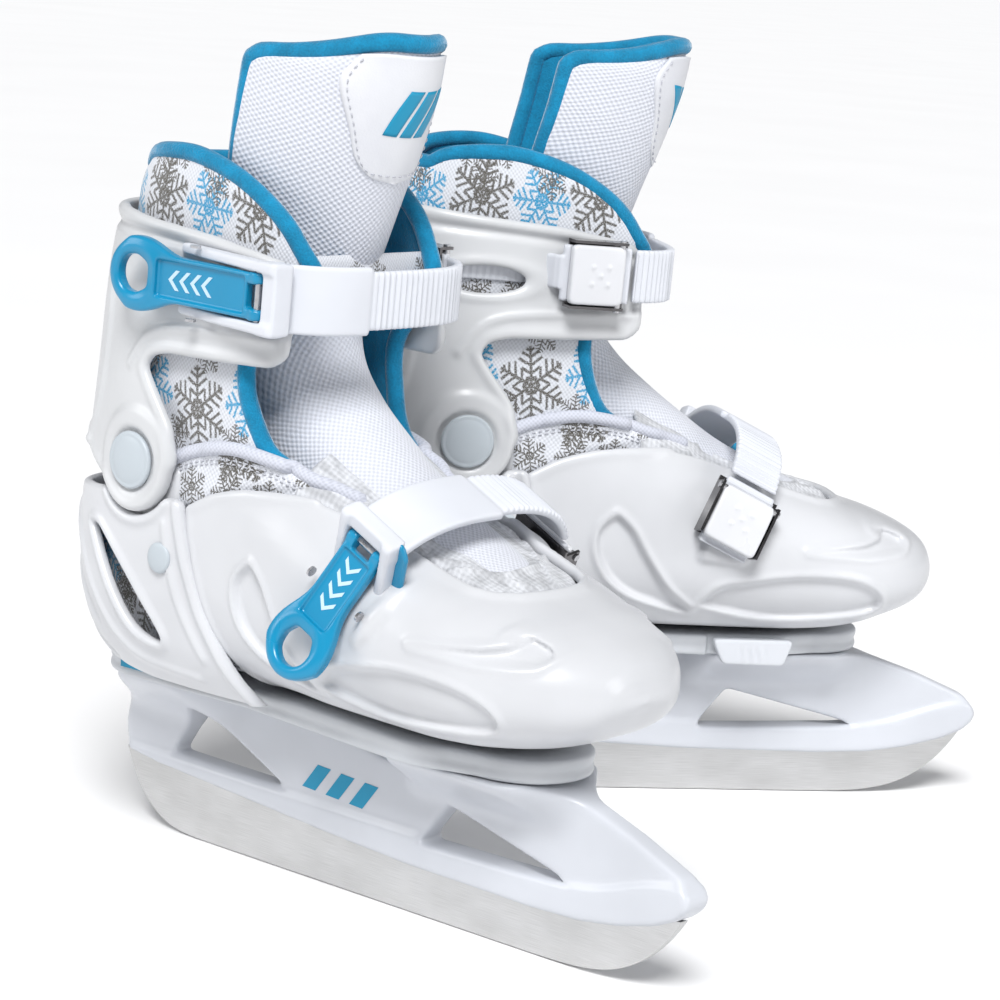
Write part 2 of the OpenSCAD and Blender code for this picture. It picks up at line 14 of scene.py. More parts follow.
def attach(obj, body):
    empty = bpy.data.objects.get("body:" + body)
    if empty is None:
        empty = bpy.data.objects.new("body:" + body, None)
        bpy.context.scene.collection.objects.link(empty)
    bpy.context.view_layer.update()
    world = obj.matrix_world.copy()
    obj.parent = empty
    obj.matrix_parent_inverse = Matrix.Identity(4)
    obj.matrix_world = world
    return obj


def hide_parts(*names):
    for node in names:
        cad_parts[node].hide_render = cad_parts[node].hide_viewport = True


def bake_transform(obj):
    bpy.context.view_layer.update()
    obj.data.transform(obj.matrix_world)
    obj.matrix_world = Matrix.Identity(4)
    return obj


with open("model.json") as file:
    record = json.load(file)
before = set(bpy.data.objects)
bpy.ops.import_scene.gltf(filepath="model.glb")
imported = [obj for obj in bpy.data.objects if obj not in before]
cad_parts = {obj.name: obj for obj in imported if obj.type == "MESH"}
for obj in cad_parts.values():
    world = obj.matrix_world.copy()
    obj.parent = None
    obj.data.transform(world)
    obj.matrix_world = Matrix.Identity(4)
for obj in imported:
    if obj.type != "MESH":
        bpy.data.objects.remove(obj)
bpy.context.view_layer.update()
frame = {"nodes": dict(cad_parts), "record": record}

RECORD = frame["record"]
JOINTS = {joint["name"]: joint for joint in RECORD["behaviour"]["joints"]}
MOUNTS = {mount["name"]: mount for mount in RECORD["mounts"]}
DATUM = 126.0  # the runner mount's x in a skate's own frame


# ---------------------------------------------------------------- placing pieces

class Skate:
    """One skate's frame, read from its runner mount and the toe shell's sliding axis."""

    def __init__(self, side, hand):
        self.side, self.hand = side, hand
        ahead = Vector(JOINTS[side + "_toe_extend"]["axis"]).normalized()
        across = Vector((0, 0, 1)).cross(ahead) * hand
        self.axes = np.array([ahead, across, (0, 0, 1)], float)
        self.origin = np.array(MOUNTS[side + "_runner"]["pos_m"], float)

    def row(self, points):
        return self.origin + ((np.asarray(points, float) - (DATUM, 0, 0)) / 1000) @ self.axes


SKATES = (Skate("right", 1), Skate("left", -1))


def add(name, points, faces, body, material, slot, stands_for=(), normals=None, uv=None,
        second=None, blend=None, crease=False):
    """Makes the piece on both skates and returns the two objects.

    uv is one pair a vertex. second is (material, face mask). blend is (body, body, start, end); only whether
    it is given counts: the piece then stays fixed in the row's frame, on no body.
    """
    made = []
    for skate in SKATES:
        turned = faces if skate.hand > 0 else [tuple(reversed(f)) for f in faces]
        mesh = bpy.data.meshes.new(f"{skate.side}_{name}")
        mesh.from_pydata(skate.row(points).tolist(), [], [tuple(map(int, f)) for f in turned])
        mesh.materials.append(material)
        if second is not None:
            mesh.materials.append(second[0])
            mesh.polygons.foreach_set("material_index", np.asarray(second[1], np.int32))
        mesh.polygons.foreach_set("use_smooth", np.full(len(faces), not crease))
        if uv is not None:
            layer = mesh.uv_layers.new(name="cloth")
            corners = np.zeros(len(mesh.loops), np.int32)
            mesh.loops.foreach_get("vertex_index", corners)
            layer.data.foreach_set("uv", np.asarray(uv, np.float32)[corners].ravel())
        mesh.update()
        if normals is not None:
            mesh.normals_split_custom_set_from_vertices((normals @ skate.axes).tolist())
        piece = bpy.data.objects.new(f"{skate.side}_{name}_shown", mesh)
        bpy.context.scene.collection.objects.link(piece)
        if blend:
            a, b, start, end = blend
            tuple(skate.row(start))
            tuple(skate.row(end))
            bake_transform(piece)
        else:
            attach(piece, f"{skate.side}_{body}")
        if stands_for:
            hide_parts(*[f"{skate.side}_{node}" for node in stands_for])
        made.append(piece)
    return made


def shift(x, y, z):
    m = np.eye(4)
    m[:3, 3] = x, y, z
    return m


def turn_y(degrees):
    c, s = math.cos(math.radians(degrees)), math.sin(math.radians(degrees))
    return np.array([[c, 0, s, 0], [0, 1, 0, 0], [-s, 0, c, 0], [0, 0, 0, 1]], float)


def turn_z(degrees):
    c, s = math.cos(math.radians(degrees)), math.sin(math.radians(degrees))
    return np.array([[c, -s, 0, 0], [s, c, 0, 0], [0, 0, 1, 0], [0, 0, 0, 1]], float)


FLIP_Y = np.diag([1.0, -1.0, 1.0, 1.0])
# strap frames, lever hinges and ratchet buckles, as in part.scad
UPPER = shift(66, 0, 199) @ turn_y(2)
LOWER = shift(148, 0, 97) @ turn_y(-64)
UPPER_LEVER = UPPER @ shift(47, -45.5, 0) @ turn_z(5) @ FLIP_Y
LOWER_LEVER = LOWER @ shift(33, -42, 0) @ turn_z(17.7) @ FLIP_Y
UPPER_RATCHET = UPPER @ shift(33, 43.4, 0) @ turn_z(-9.6)
LOWER_RATCHET = LOWER @ shift(18, 45.7, 0) @ turn_z(-12.8)
ANKLE = (57, 137)
SHELL_RIVET = (72, 107)


def placed(matrix, points):
    return np.asarray(points, float) @ matrix[:3, :3].T + matrix[:3, 3]


# ---------------------------------------------------------------- fields and their skins

def curve(table):
    """Smooth curve through (x, y) pairs that never overshoots them, held flat beyond its ends."""
    xs, ys = (np.array(column, float) for column in zip(*table))
    slope = np.diff(ys) / np.diff(xs)
    m = np.empty(len(xs))
    m[0], m[-1] = slope[0], slope[-1]
    a, b = slope[:-1], slope[1:]
    m[1:-1] = np.where(a * b > 0, 2 * a * b / np.where(a * b > 0, a + b, 1), 0)

    def at(x):
        x = np.clip(x, xs[0], xs[-1])
        i = np.clip(np.searchsorted(xs, x) - 1, 0, len(xs) - 2)
        h = xs[i + 1] - xs[i]
        t = (x - xs[i]) / h
        return ((2 * t**3 - 3 * t**2 + 1) * ys[i] + (t**3 - 2 * t**2 + t) * h * m[i]
                + (3 * t**2 - 2 * t**3) * ys[i + 1] + (t**3 - t**2) * h * m[i + 1])
    return at


class Grid:
    """Sample points of a box, as three arrays that broadcast together."""

    def __init__(self, low, high, step):
        self.low, self.step = np.array(low, float), step
        axes = [low[i] + step * np.arange(int(math.ceil((high[i] - low[i]) / step)) + 1) for i in range(3)]
        self.x, self.y, self.z = np.meshgrid(*axes, indexing="ij", sparse=True)


def smax(a, b, k):
    h = np.maximum(k - np.abs(a - b), 0) / k
    return np.maximum(a, b) + h * h * k / 4


def smin(a, b, k):
    return -smax(-a, -b, k)


def bump(distance, width):
    """1 on a line, falling smoothly to 0 at about twice width from it."""
    return np.exp(-(distance / width) ** 2)


def ramp(value, low, high):
    t = np.clip((value - low) / (high - low), 0, 1)
    return t * t * (3 - 2 * t)


def outline(points, u, v, blur=0.0, step=1.0):
    """Signed distance from (u, v) to a closed outline, negative inside; blur rounds its corners."""
    best, inside = 1e9, False
    for (ax, ay), (bx, by) in zip(points, points[1:] + points[:1]):
        ex, ey, wx, wy = bx - ax, by - ay, u - ax, v - ay
        t = np.clip((wx * ex + wy * ey) / (ex * ex + ey * ey + 1e-9), 0, 1)
        best = np.minimum(best, (wx - t * ex) ** 2 + (wy - t * ey) ** 2)
        inside = inside ^ (((ay <= v) != (by <= v)) & (wx < wy * ex / (ey if abs(ey) > 1e-9 else 1e-9)))
    field = np.where(inside, -1, 1) * np.sqrt(best)
    return smoothed(field, blur / step) if blur else field


def drawn(g, points, blur):
    """Signed distance to a closed outline drawn on the side of the boot."""
    return outline(points, g.x, g.z, blur, g.step)


def smoothed(field, cells):
    """Gaussian blur along the field's two long axes."""
    reach = int(math.ceil(3 * cells))
    kernel = np.exp(-0.5 * (np.arange(-reach, reach + 1) / cells) ** 2)
    kernel /= kernel.sum()
    for axis in [i for i, n in enumerate(field.shape) if n > 1]:
        pad = [(reach, reach) if i == axis else (0, 0) for i in range(field.ndim)]
        wide = np.pad(field, pad, mode="edge")
        n = field.shape[axis]
        field = sum(w * np.take(wide, range(i, i + n), axis) for i, w in enumerate(kernel))
    return field


def line(points, u, v):
    """Distance from (u, v) to an open line."""
    best = 1e9
    for (ax, ay), (bx, by) in zip(points, points[1:]):
        ex, ey, wx, wy = bx - ax, by - ay, u - ax, v - ay
        t = np.clip((wx * ex + wy * ey) / (ex * ex + ey * ey + 1e-9), 0, 1)
        best = np.minimum(best, (wx - t * ex) ** 2 + (wy - t * ey) ** 2)
    return np.sqrt(best)


def fine(points, n=8):
    """Catmull-Rom curve through a short list of points, as a list of tuples."""
    p = np.array([points[0]] + list(points) + [points[-1]], float)
    t = (np.arange(n) / n)[:, None]
    out = []
    for a, b, c, d in zip(p, p[1:], p[2:], p[3:]):
        out.append(0.5 * (2 * b + (c - a) * t + (2 * a - 5 * b + 4 * c - d) * t**2
                          + (3 * b - a - 3 * c + d) * t**3))
    return [tuple(q) for q in np.vstack(out + [p[-1:]])]


def lengths(points):
    """Distance along a polyline at each of its points."""
    return np.concatenate([[0], np.cumsum(np.linalg.norm(np.diff(points, axis=0), axis=1))])


def distance(q, step):
    """A field turned into distance near its zero surface, by dividing by its slope."""
    slope = np.gradient(q, step)
    return q / np.sqrt(sum(s * s for s in slope) + 1e-9)


def skin(grid, field):
    """Surface where the field is zero, with one vertex a cell: points, quads and normals."""
    field = np.ascontiguousarray(field, dtype=float)
    n = np.array(field.shape)
    strides = np.array([n[1] * n[2], n[2], 1])
    weight, total = np.zeros(n.prod()), np.zeros((3, n.prod()))
    edges = []
    for axis in range(3):
        low = [slice(None)] * 3
        high = [slice(None)] * 3
        low[axis], high[axis] = slice(None, -1), slice(1, None)
        a, b = field[tuple(low)], field[tuple(high)]
        at = np.argwhere((a < 0) != (b < 0))
        at = at[np.all((at > 0) & (at < n - 1), axis=1)]
        fa = field[tuple(at.T)]
        cut = at.astype(float)
        step = np.zeros(3, int)
        step[axis] = 1
        cut[:, axis] += fa / (fa - field[tuple((at + step).T)])
        u, v = strides[(axis + 1) % 3], strides[(axis + 2) % 3]
        home = at @ strides
        ring = np.stack([home, home - u, home - u - v, home - v], axis=1)
        for k in range(4):
            weight += np.bincount(ring[:, k], minlength=len(weight))
            for c in range(3):
                total[c] += np.bincount(ring[:, k], cut[:, c], len(weight))
        edges.append(np.where((fa < 0)[:, None], ring, ring[:, ::-1]))
    used = np.flatnonzero(weight)
    index = np.zeros(len(weight), np.int64)
    index[used] = np.arange(len(used))
    cells = (total[:, used] / weight[used]).T
    quads = index[np.vstack(edges)]
    slope = np.gradient(field)
    base = np.clip(np.floor(cells).astype(int), 0, n - 2)
    part = cells - base
    normal = np.zeros_like(cells)
    for dx in (0, 1):
        for dy in (0, 1):
            for dz in (0, 1):
                w = (np.abs(1 - dx - part[:, 0]) * np.abs(1 - dy - part[:, 1]) * np.abs(1 - dz - part[:, 2]))
                corner = tuple((base + (dx, dy, dz)).T)
                normal += w[:, None] * np.stack([g[corner] for g in slope], axis=1)
    normal /= np.linalg.norm(normal, axis=1)[:, None] + 1e-9
    return grid.low + cells * grid.step, quads, normal


def oriented(quads, matrix):
    """The quads as given, or reversed where the matrix mirrors."""
    return quads if np.linalg.det(matrix[:3, :3]) > 0 else quads[:, ::-1]


def moulded(name, grid, field, body, material, slot, stands_for=(), matrix=None):
    """A piece whose surface is the field's skin."""
    points, quads, normals = skin(grid, field)
    if matrix is not None:
        points, normals = placed(matrix, points), normals @ matrix[:3, :3].T
        quads = oriented(quads, matrix)
    return add(name, points, quads.tolist(), body, material, slot, stands_for, normals)


# ---------------------------------------------------------------- the boot's outer form

LEG_REAR = curve([(62, 24), (66, 18), (72, 12), (80, 8), (95, 4.5), (115, 5), (137, 8), (170, 12.5),
                  (197, 15.5), (216, 20), (238, 28)])
LEG_HALF = curve([(62, 31), (66, 34.5), (72, 38), (80, 40.5), (95, 42.8), (115, 43.4), (137, 43.2),
                  (170, 43), (197, 42.3), (216, 41.5), (238, 40.5)])
FOOT_LOW = curve([(60, 66), (180, 66), (195, 67), (210, 69.5), (225, 73.5), (235, 78), (242.3, 88)])
FOOT_WIDE = curve([(60, 113), (100, 104), (125, 100), (142, 97), (180, 93), (208, 90.5), (242.3, 89)])
FOOT_CROWN = curve([(60, 240), (70, 220), (85, 183), (100, 163.5), (125, 149.5), (142, 139.6),
                    (155, 132.5), (180, 123), (200, 116.3), (208, 113.3), (220, 109.5), (231, 105),
                    (238, 100), (242.3, 90)])
MID, FRONT, NOSE = 66, 140, 242.3


def foot_half(x):
    s = np.clip((x - 170) / (NOSE - 170), 0, 1)
    back = np.maximum(0, (170 - x) / 100)
    return np.where(x > 170, 46.3 * np.maximum(2e-4, 1 - s**2.6) ** (1 / 2.2), 46.3 - 6.5 * back**1.6)


def leg(g):
    """Distance outside the leg's form."""
    dx = g.x - MID
    reach = np.where(dx > 0, FRONT - MID, MID - LEG_REAR(g.z))
    power = np.where(dx > 0, 3, 2.3)
    q = (np.abs(dx / reach) ** power + np.abs(g.y / LEG_HALF(g.z)) ** power) ** (1 / power)
    return distance(q - 1, g.step)


def foot(g):
    """Distance outside the forefoot's form."""
    wide = FOOT_WIDE(g.x)
    up = g.z > wide
    tall = np.where(up, np.maximum(FOOT_CROWN(g.x) - wide, 0.5), np.maximum(wide - FOOT_LOW(g.x), 0.5))
    q = (np.abs(g.y / foot_half(g.x)) ** 2.5 + np.abs((g.z - wide) / tall) ** 2.5) ** (1 / 2.5)
    return smax(distance(q - 1, g.step), g.x - NOSE + 0.2, 3)


def leg_point(angle, z):
    """Point of the leg's ring at a polar angle from straight ahead."""
    c, s = math.cos(angle), math.sin(angle)
    reach, power = (FRONT - MID, 3) if c > 0 else (MID - LEG_REAR(z), 2.3)
    r = (abs(c / reach) ** power + abs(s / LEG_HALF(z)) ** power) ** (-1 / power)
    return (MID + r * c, r * s, float(z))


# arc length round the leg from the rear middle, against polar angle from the rear
RING_ANGLES = np.linspace(0, math.pi, 181)
RING_ARC = lengths(np.array([leg_point(math.pi - a, 197) for a in RING_ANGLES]))


def leg_uv(points):
    """Cloth coordinates in millimetres: distance from the rear seam, and height."""
    angle = math.pi - np.abs(np.arctan2(points[:, 1], points[:, 0] - MID))
    return np.stack([np.interp(angle, RING_ANGLES, RING_ARC), points[:, 2]], axis=1)


# ---------------------------------------------------------------- materials

class Nodes:
    """Short names for the shader nodes that the materials use."""

    def __init__(self, tree):
        self.tree = tree

    def new(self, kind, **values):
        node = self.tree.nodes.new(kind)
        for key, value in values.items():
            setattr(node, key, value)
        return node

    def put(self, socket, value):
        """Links a socket into an input, or sets its constant."""
        if isinstance(value, bpy.types.NodeSocket):
            self.tree.links.new(value, socket)
        else:
            socket.default_value = value

    def math(self, operation, *values, clamp=False):
        node = self.new("ShaderNodeMath", operation=operation, use_clamp=clamp)
        for socket, value in zip(node.inputs, values):
            self.put(socket, value)
        return node.outputs[0]

    def vector(self, operation, *values):
        node = self.new("ShaderNodeVectorMath", operation=operation)
        for socket, value in zip(node.inputs, values):
            self.put(socket, value)
        return node.outputs[0]

    def mix(self, share, a, b):
        node = self.new("ShaderNodeMix", data_type="RGBA")
        self.put(node.inputs[0], share)
        self.put(node.inputs[6], a)
        self.put(node.inputs[7], b)
        return node.outputs[2]

    def scale(self, value, low, high, new_low, new_high):
        node = self.new("ShaderNodeMapRange")
        for socket, v in zip(node.inputs, (value, low, high, new_low, new_high)):
            self.put(socket, v)
        return node.outputs[0]

    def feed(self, node, **values):
        """Puts values or links into a node's named inputs."""
        for key, value in values.items():
            self.put(node.inputs[key.replace("_", " ")], value)

    def tones(self, value, low, high, dark, light):
        """Colour that goes from dark to light as the value goes from low to high."""
        return self.mix(self.scale(value, low, high, 0, 1), (*dark, 1), (*light, 1))

    def add(self, a, b):
        return self.math("ADD", a, b)

    def sub(self, a, b):
        return self.math("SUBTRACT", a, b)

    def mul(self, a, b):
        return self.math("MULTIPLY", a, b)

    def noise(self, vector, scale, detail=2.0, out=0):
        node = self.new("ShaderNodeTexNoise")
        self.put(node.inputs["Vector"], vector)
        self.put(node.inputs["Scale"], scale)
        self.put(node.inputs["Detail"], detail)
        return node.outputs[out]

    def position(self):
        return self.new("ShaderNodeTexCoord").outputs["Object"]

    def cloth(self):
        return self.new("ShaderNodeUVMap", uv_map="cloth").outputs[0]

    def bump(self, height, strength, depth, under=None):
        node = self.new("ShaderNodeBump")
        self.put(node.inputs["Height"], height)
        node.inputs["Strength"].default_value = strength
        node.inputs["Distance"].default_value = depth
        if under is not None:
            self.put(node.inputs["Normal"], under)
        return node.outputs[0]


def surface(name, **values):
    """A material with a Principled shader: its nodes helper, the shader and the material."""
    material = bpy.data.materials.new(name)
    material.use_nodes = True
    shader = material.node_tree.nodes["Principled BSDF"]
    for key, value in values.items():
        shader.inputs[key.replace("_", " ")].default_value = value
    return Nodes(material.node_tree), shader, material


def darker(color, share):
    return tuple(c * share for c in color)


def plastic(name, color, rough, grain=0.15, coat=0.0, mottle=0.02):
    """Moulded plastic: a fine moulding grain, faint flow mottling and handling marks in the gloss."""
    n, shader, material = surface(name, Coat_Weight=coat, Coat_Roughness=0.18, IOR=1.47)
    p = n.position()
    shade = n.noise(p, 22.0, 3.0)
    n.feed(shader, Base_Color=n.tones(shade, 0.35, 0.65, darker(color, 1 - 4 * mottle), color),
           Roughness=n.scale(n.noise(p, 60.0, 4.0), 0.3, 0.7, rough * 0.85, rough * 1.2),
           Normal=n.bump(n.noise(p, 2600.0, 2.0), grain, 0.00006, n.bump(n.noise(p, 35.0), 0.12, 0.0006)))
    return material


def weave(n, uv, pitch, twist):
    """Basket weave height from 0 to 1 at a thread pitch in millimetres, with uneven threads."""
    turned = n.new("ShaderNodeVectorRotate", rotation_type="Z_AXIS")
    n.put(turned.inputs["Vector"], uv)
    turned.inputs["Angle"].default_value = twist
    wobble = n.vector("SCALE", n.noise(uv, 0.35, 2.0, 1))
    wobble.node.inputs["Scale"].default_value = pitch * 0.5
    split = n.new("ShaderNodeSeparateXYZ")
    n.put(split.inputs[0], n.vector("ADD", turned.outputs[0], wobble))
    rate = math.pi / pitch
    u, v = (n.math("SINE", n.mul(part, rate)) for part in split.outputs[:2])
    return n.add(n.mul(n.mul(u, v), 0.5), 0.5)


def fabric(name, color, pitch, twist, depth, sheen=0.25, shadow=0.8):
    """Woven cloth from its cloth coordinates, with painted shade in the gaps between its threads."""
    n, shader, material = surface(name, Roughness=0.82, Sheen_Weight=sheen, Sheen_Roughness=0.5)
    uv = n.cloth()
    height = weave(n, uv, pitch, twist)
    fuzz = n.noise(uv, 5.0, 3.0)
    # painted shade: the colour falls to the shadow share where the weave is low, between the threads; a
    # quarter of the tone is random fuzz
    base = n.tones(n.add(n.mul(height, 0.75), n.mul(fuzz, 0.25)), 0.15, 0.7, darker(color, shadow), color)
    n.feed(shader, Base_Color=base, Normal=n.bump(height, 0.9, depth, n.bump(fuzz, 0.3, depth)))
    return n, shader, material, base, uv


def crystal_group():
    """Node group: the mask of a generic six-armed frost crystal, repeated on a staggered lattice."""
    tree = bpy.data.node_groups.new("frost_crystal", "ShaderNodeTree")
    face = tree.interface
    for kind, label in (("NodeSocketVector", "Cloth"), ("NodeSocketVector", "Offset"),
                        ("NodeSocketVector", "Cell"), ("NodeSocketFloat", "Radius"),
                        ("NodeSocketFloat", "Turn")):
        face.new_socket(label, in_out="INPUT", socket_type=kind)
    face.new_socket("Mask", in_out="OUTPUT", socket_type="NodeSocketFloat")
    n = Nodes(tree)
    given = n.new("NodeGroupInput").outputs
    local = n.vector("DIVIDE", n.vector("SUBTRACT", given["Cloth"], given["Offset"]), given["Cell"])
    part = n.new("ShaderNodeSeparateXYZ")
    n.put(part.inputs[0], local)
    size = n.new("ShaderNodeSeparateXYZ")
    n.put(size.inputs[0], given["Cell"])
    row = n.math("FLOOR", n.add(part.outputs[1], 0.5))
    stagger = n.mul(n.math("FLOORED_MODULO", row, 2.0), 0.5)
    column = n.add(part.outputs[0], stagger)
    number = n.math("FLOOR", n.add(column, 0.5))
    x = n.math("DIVIDE", n.mul(n.sub(column, number), size.outputs[0]), given["Radius"])
    y = n.math("DIVIDE", n.mul(n.sub(part.outputs[1], row), size.outputs[1]), given["Radius"])
    radius = n.math("SQRT", n.add(n.mul(x, x), n.mul(y, y)))
    spin = n.add(given["Turn"], n.add(n.mul(number, 1.7), n.mul(row, 0.9)))
    angle = n.add(n.math("ARCTAN2", y, x), spin)
    folded = n.math("ABSOLUTE", n.sub(n.math("FLOORED_MODULO", angle, math.pi / 3), math.pi / 6))
    a, b = n.mul(radius, n.math("COSINE", folded)), n.mul(radius, n.math("SINE", folded))

    def thick(cross, along, length, width):
        return n.math("MAXIMUM", n.sub(cross, width), n.sub(along, length))

    shape = thick(b, a, 0.97, 0.036)
    for start, length in ((0.3, 0.3), (0.5, 0.38), (0.7, 0.27), (0.86, 0.13)):
        ahead = n.sub(a, start)
        along = n.add(n.mul(ahead, 0.5), n.mul(b, 0.866))
        cross = n.math("ABSOLUTE", n.sub(n.mul(b, 0.5), n.mul(ahead, 0.866)))
        branch = n.math("MAXIMUM", thick(cross, along, length, 0.034), n.mul(along, -1.0))
        shape = n.math("MINIMUM", shape, branch)
    hub = n.sub(n.math("ABSOLUTE", n.sub(a, 0.17)), 0.055)
    shape = n.math("MINIMUM", shape, hub)
    n.put(n.new("NodeGroupOutput").inputs["Mask"], n.scale(shape, -0.012, 0.016, 1, 0))
    return tree


def printed_fabric():
    """Liner cloth: white weave printed with grey and blue frost crystals, a little patchy."""
    n, shader, material, base, uv = fabric("printed_liner_cloth", (0.68, 0.70, 0.75), 0.85, 0.1, 0.00018)
    group = crystal_group()
    rough = n.vector("SCALE", n.noise(uv, 1.1, 2.0, 1))
    rough.node.inputs["Scale"].default_value = 0.8
    print_uv = n.vector("ADD", uv, rough)
    wear = n.scale(n.noise(uv, 2.6, 3.0), 0.32, 0.5, 0.25, 1)
    for color, offset, cell, size, turn in (
            ((0.075, 0.068, 0.055), (66, 223, 0), (50, 66, 1), 14.5, 0.15),
            ((0.002, 0.27, 0.50), (91, 222, 0), (51, 60, 1), 12.5, 0.6),
            ((0.085, 0.078, 0.065), (95, 175, 0), (29, 27, 1), 6.8, 0.3),
            ((0.075, 0.068, 0.055), (121, 139, 0), (15.5, 50, 1), 7.0, 0.9)):
        node = n.new("ShaderNodeGroup", node_tree=group)
        n.feed(node, Cloth=print_uv, Offset=offset, Cell=cell, Radius=size, Turn=turn)
        base = n.mix(n.mul(node.outputs[0], wear), base, (*color, 1))
    n.put(shader.inputs["Base Color"], base)
    return material


def pile(name, color):
    """Short fuzzy pile, as on the blue piping and the lining."""
    n, shader, material = surface(name, Roughness=0.95, Sheen_Weight=0.6, Sheen_Roughness=0.35)
    p = n.position()
    fuzz = n.noise(p, 1500.0, 4.0)
    lumps = n.noise(p, 160.0, 3.0)
    tone = n.add(n.mul(fuzz, 0.5), n.mul(lumps, 0.5))
    n.feed(shader, Base_Color=n.tones(tone, 0.35, 0.65, darker(color, 0.62), color),
           Normal=n.bump(fuzz, 0.8, 0.0004, n.bump(lumps, 0.5, 0.0008)))
    return material


def runner_steel():
    """Ground steel with long fine scratches along the runner and faint cloudy streaks."""
    n, shader, material = surface("ground_steel", Metallic=1.0, Anisotropic=0.5)
    uv = n.cloth()
    lines = n.noise(n.vector("MULTIPLY", uv, (0.05, 5.0, 1.0)), 2.0, 6.0)
    clouds = n.noise(n.vector("MULTIPLY", uv, (0.5, 1.0, 1.0)), 0.07, 2.0)
    tone = n.add(n.mul(lines, 0.6), n.mul(clouds, 0.4))
    n.feed(shader, Base_Color=n.tones(tone, 0.35, 0.65, (0.50, 0.50, 0.495), (0.70, 0.70, 0.70)),
           Roughness=n.scale(tone, 0.3, 0.7, 0.30, 0.48), Normal=n.bump(lines, 0.35, 0.00008))
    return material


def plated(name, color, rough):
    """Plated metal with faint handling marks."""
    n, shader, material = surface(name, Metallic=1.0)
    marks = n.noise(n.position(), 320.0, 4.0)
    n.feed(shader, Base_Color=n.tones(marks, 0.3, 0.7, darker(color, 0.7), color),
           Roughness=n.scale(marks, 0.3, 0.7, rough * 0.7, rough * 1.5), Normal=n.bump(marks, 0.1, 0.0001))
    return material


def leatherette():
    """Smooth coated cloth with a fine pebble grain."""
    n, shader, material = surface("white_leatherette", Roughness=0.5, IOR=1.45)
    p = n.position()
    cells = n.new("ShaderNodeTexVoronoi")
    n.feed(cells, Vector=p, Scale=1500.0)
    n.feed(shader,
           Base_Color=n.tones(n.noise(p, 40.0, 3.0), 0.35, 0.65, (0.64, 0.65, 0.69), (0.72, 0.73, 0.76)),
           Normal=n.bump(cells.outputs["Distance"], 0.25, 0.00015))
    return material


def crinkled_mesh():
    """Shiny white mesh over foam: an open diagonal weave with soft creases, their folds darkened by painted
    shade.
    """
    n, shader, material, base, uv = fabric("white_crinkled_mesh", (0.66, 0.675, 0.71), 1.3, 0.6, 0.0003)
    creases = n.noise(n.vector("MULTIPLY", uv, (0.1, 0.22, 1.0)), 1.0, 5.0)
    # painted shade: the colour is multiplied down to 0.72 along the crease noise, where the folds would lie
    # in shade
    shade = n.scale(creases, 0.38, 0.56, 0.72, 1)
    crease_shade = n.new("ShaderNodeCombineXYZ")
    for socket in crease_shade.inputs:
        n.put(socket, shade)
    woven = shader.inputs["Normal"].links[0].from_socket
    n.feed(shader, Base_Color=n.vector("MULTIPLY", base, crease_shade.outputs[0]),
           Normal=n.bump(creases, 0.6, 0.002, woven))
    return material


SHELL = plastic("shell_white", (0.61, 0.62, 0.645), 0.34, coat=0.25)
CUFF = plastic("cuff_white", (0.60, 0.61, 0.625), 0.36, coat=0.2)
HOLDER = plastic("holder_white", (0.58, 0.60, 0.645), 0.33, coat=0.25)
SOLE = plastic("sole_white", (0.56, 0.58, 0.61), 0.4)
STRAP = plastic("strap_white", (0.67, 0.69, 0.74), 0.42, grain=0.2)
CAP = plastic("cap_white", (0.70, 0.71, 0.74), 0.3, coat=0.3)
BUTTON = plastic("button_white", (0.62, 0.64, 0.68), 0.36)
RIVET = plastic("rivet_grey", (0.48, 0.53, 0.57), 0.38)
BLUE = plastic("lever_blue", (0.001, 0.25, 0.46), 0.3, coat=0.3, mottle=0.03)
PRINT_BLUE = plastic("printed_blue", (0.001, 0.27, 0.46), 0.45)
PRINT_PALE = plastic("printed_pale", (0.52, 0.70, 0.82), 0.45)
PILE = pile("blue_pile", (0.001, 0.25, 0.47))
LINER_CLOTH = printed_fabric()
TONGUE_CLOTH = fabric("tongue_cloth", (0.70, 0.72, 0.79), 1.0, 0.1, 0.00032, sheen=0.35, shadow=0.78)[2]
MESH_CLOTH = crinkled_mesh()
PATCH = leatherette()
BINDING = fabric("white_binding", (0.58, 0.60, 0.68), 0.8, 0.0, 0.00012)[2]
THREAD = fabric("white_thread", (0.52, 0.53, 0.58), 0.5, 0.5, 0.0001)[2]
FELT = pile("insole_felt", (0.42, 0.44, 0.48))
STEEL = runner_steel()
HARDWARE = plated("plated_steel", (0.62, 0.62, 0.64), 0.28)
DARK_CHROME = plated("dark_chrome", (0.16, 0.155, 0.16), 0.16)


# ---------------------------------------------------------------- runner, holder and sole

HOLDER_SIDE = [(20, 25.5), (35, 23.6), (55, 22.4), (83, 20.6), (120, 18.2), (153, 16.6), (205, 15.9),
               (225, 16.6), (240, 18.8), (254, 22.4), (262, 26), (266, 29.8), (266.5, 33.5), (262, 39),
               (243, 47), (221, 54.5), (208, 58), (150, 58), (141, 49), (104, 58), (27, 58), (22, 51),
               (18, 42), (16.5, 36), (17.5, 29)]
HOLDER_WINDOWS = ([(41, 29), (96, 28.5), (53.5, 48)], [(157, 25), (222, 26.5), (168.5, 39.9)])
RAIL_HALF, WEB_HALF = 6.1, 4.4


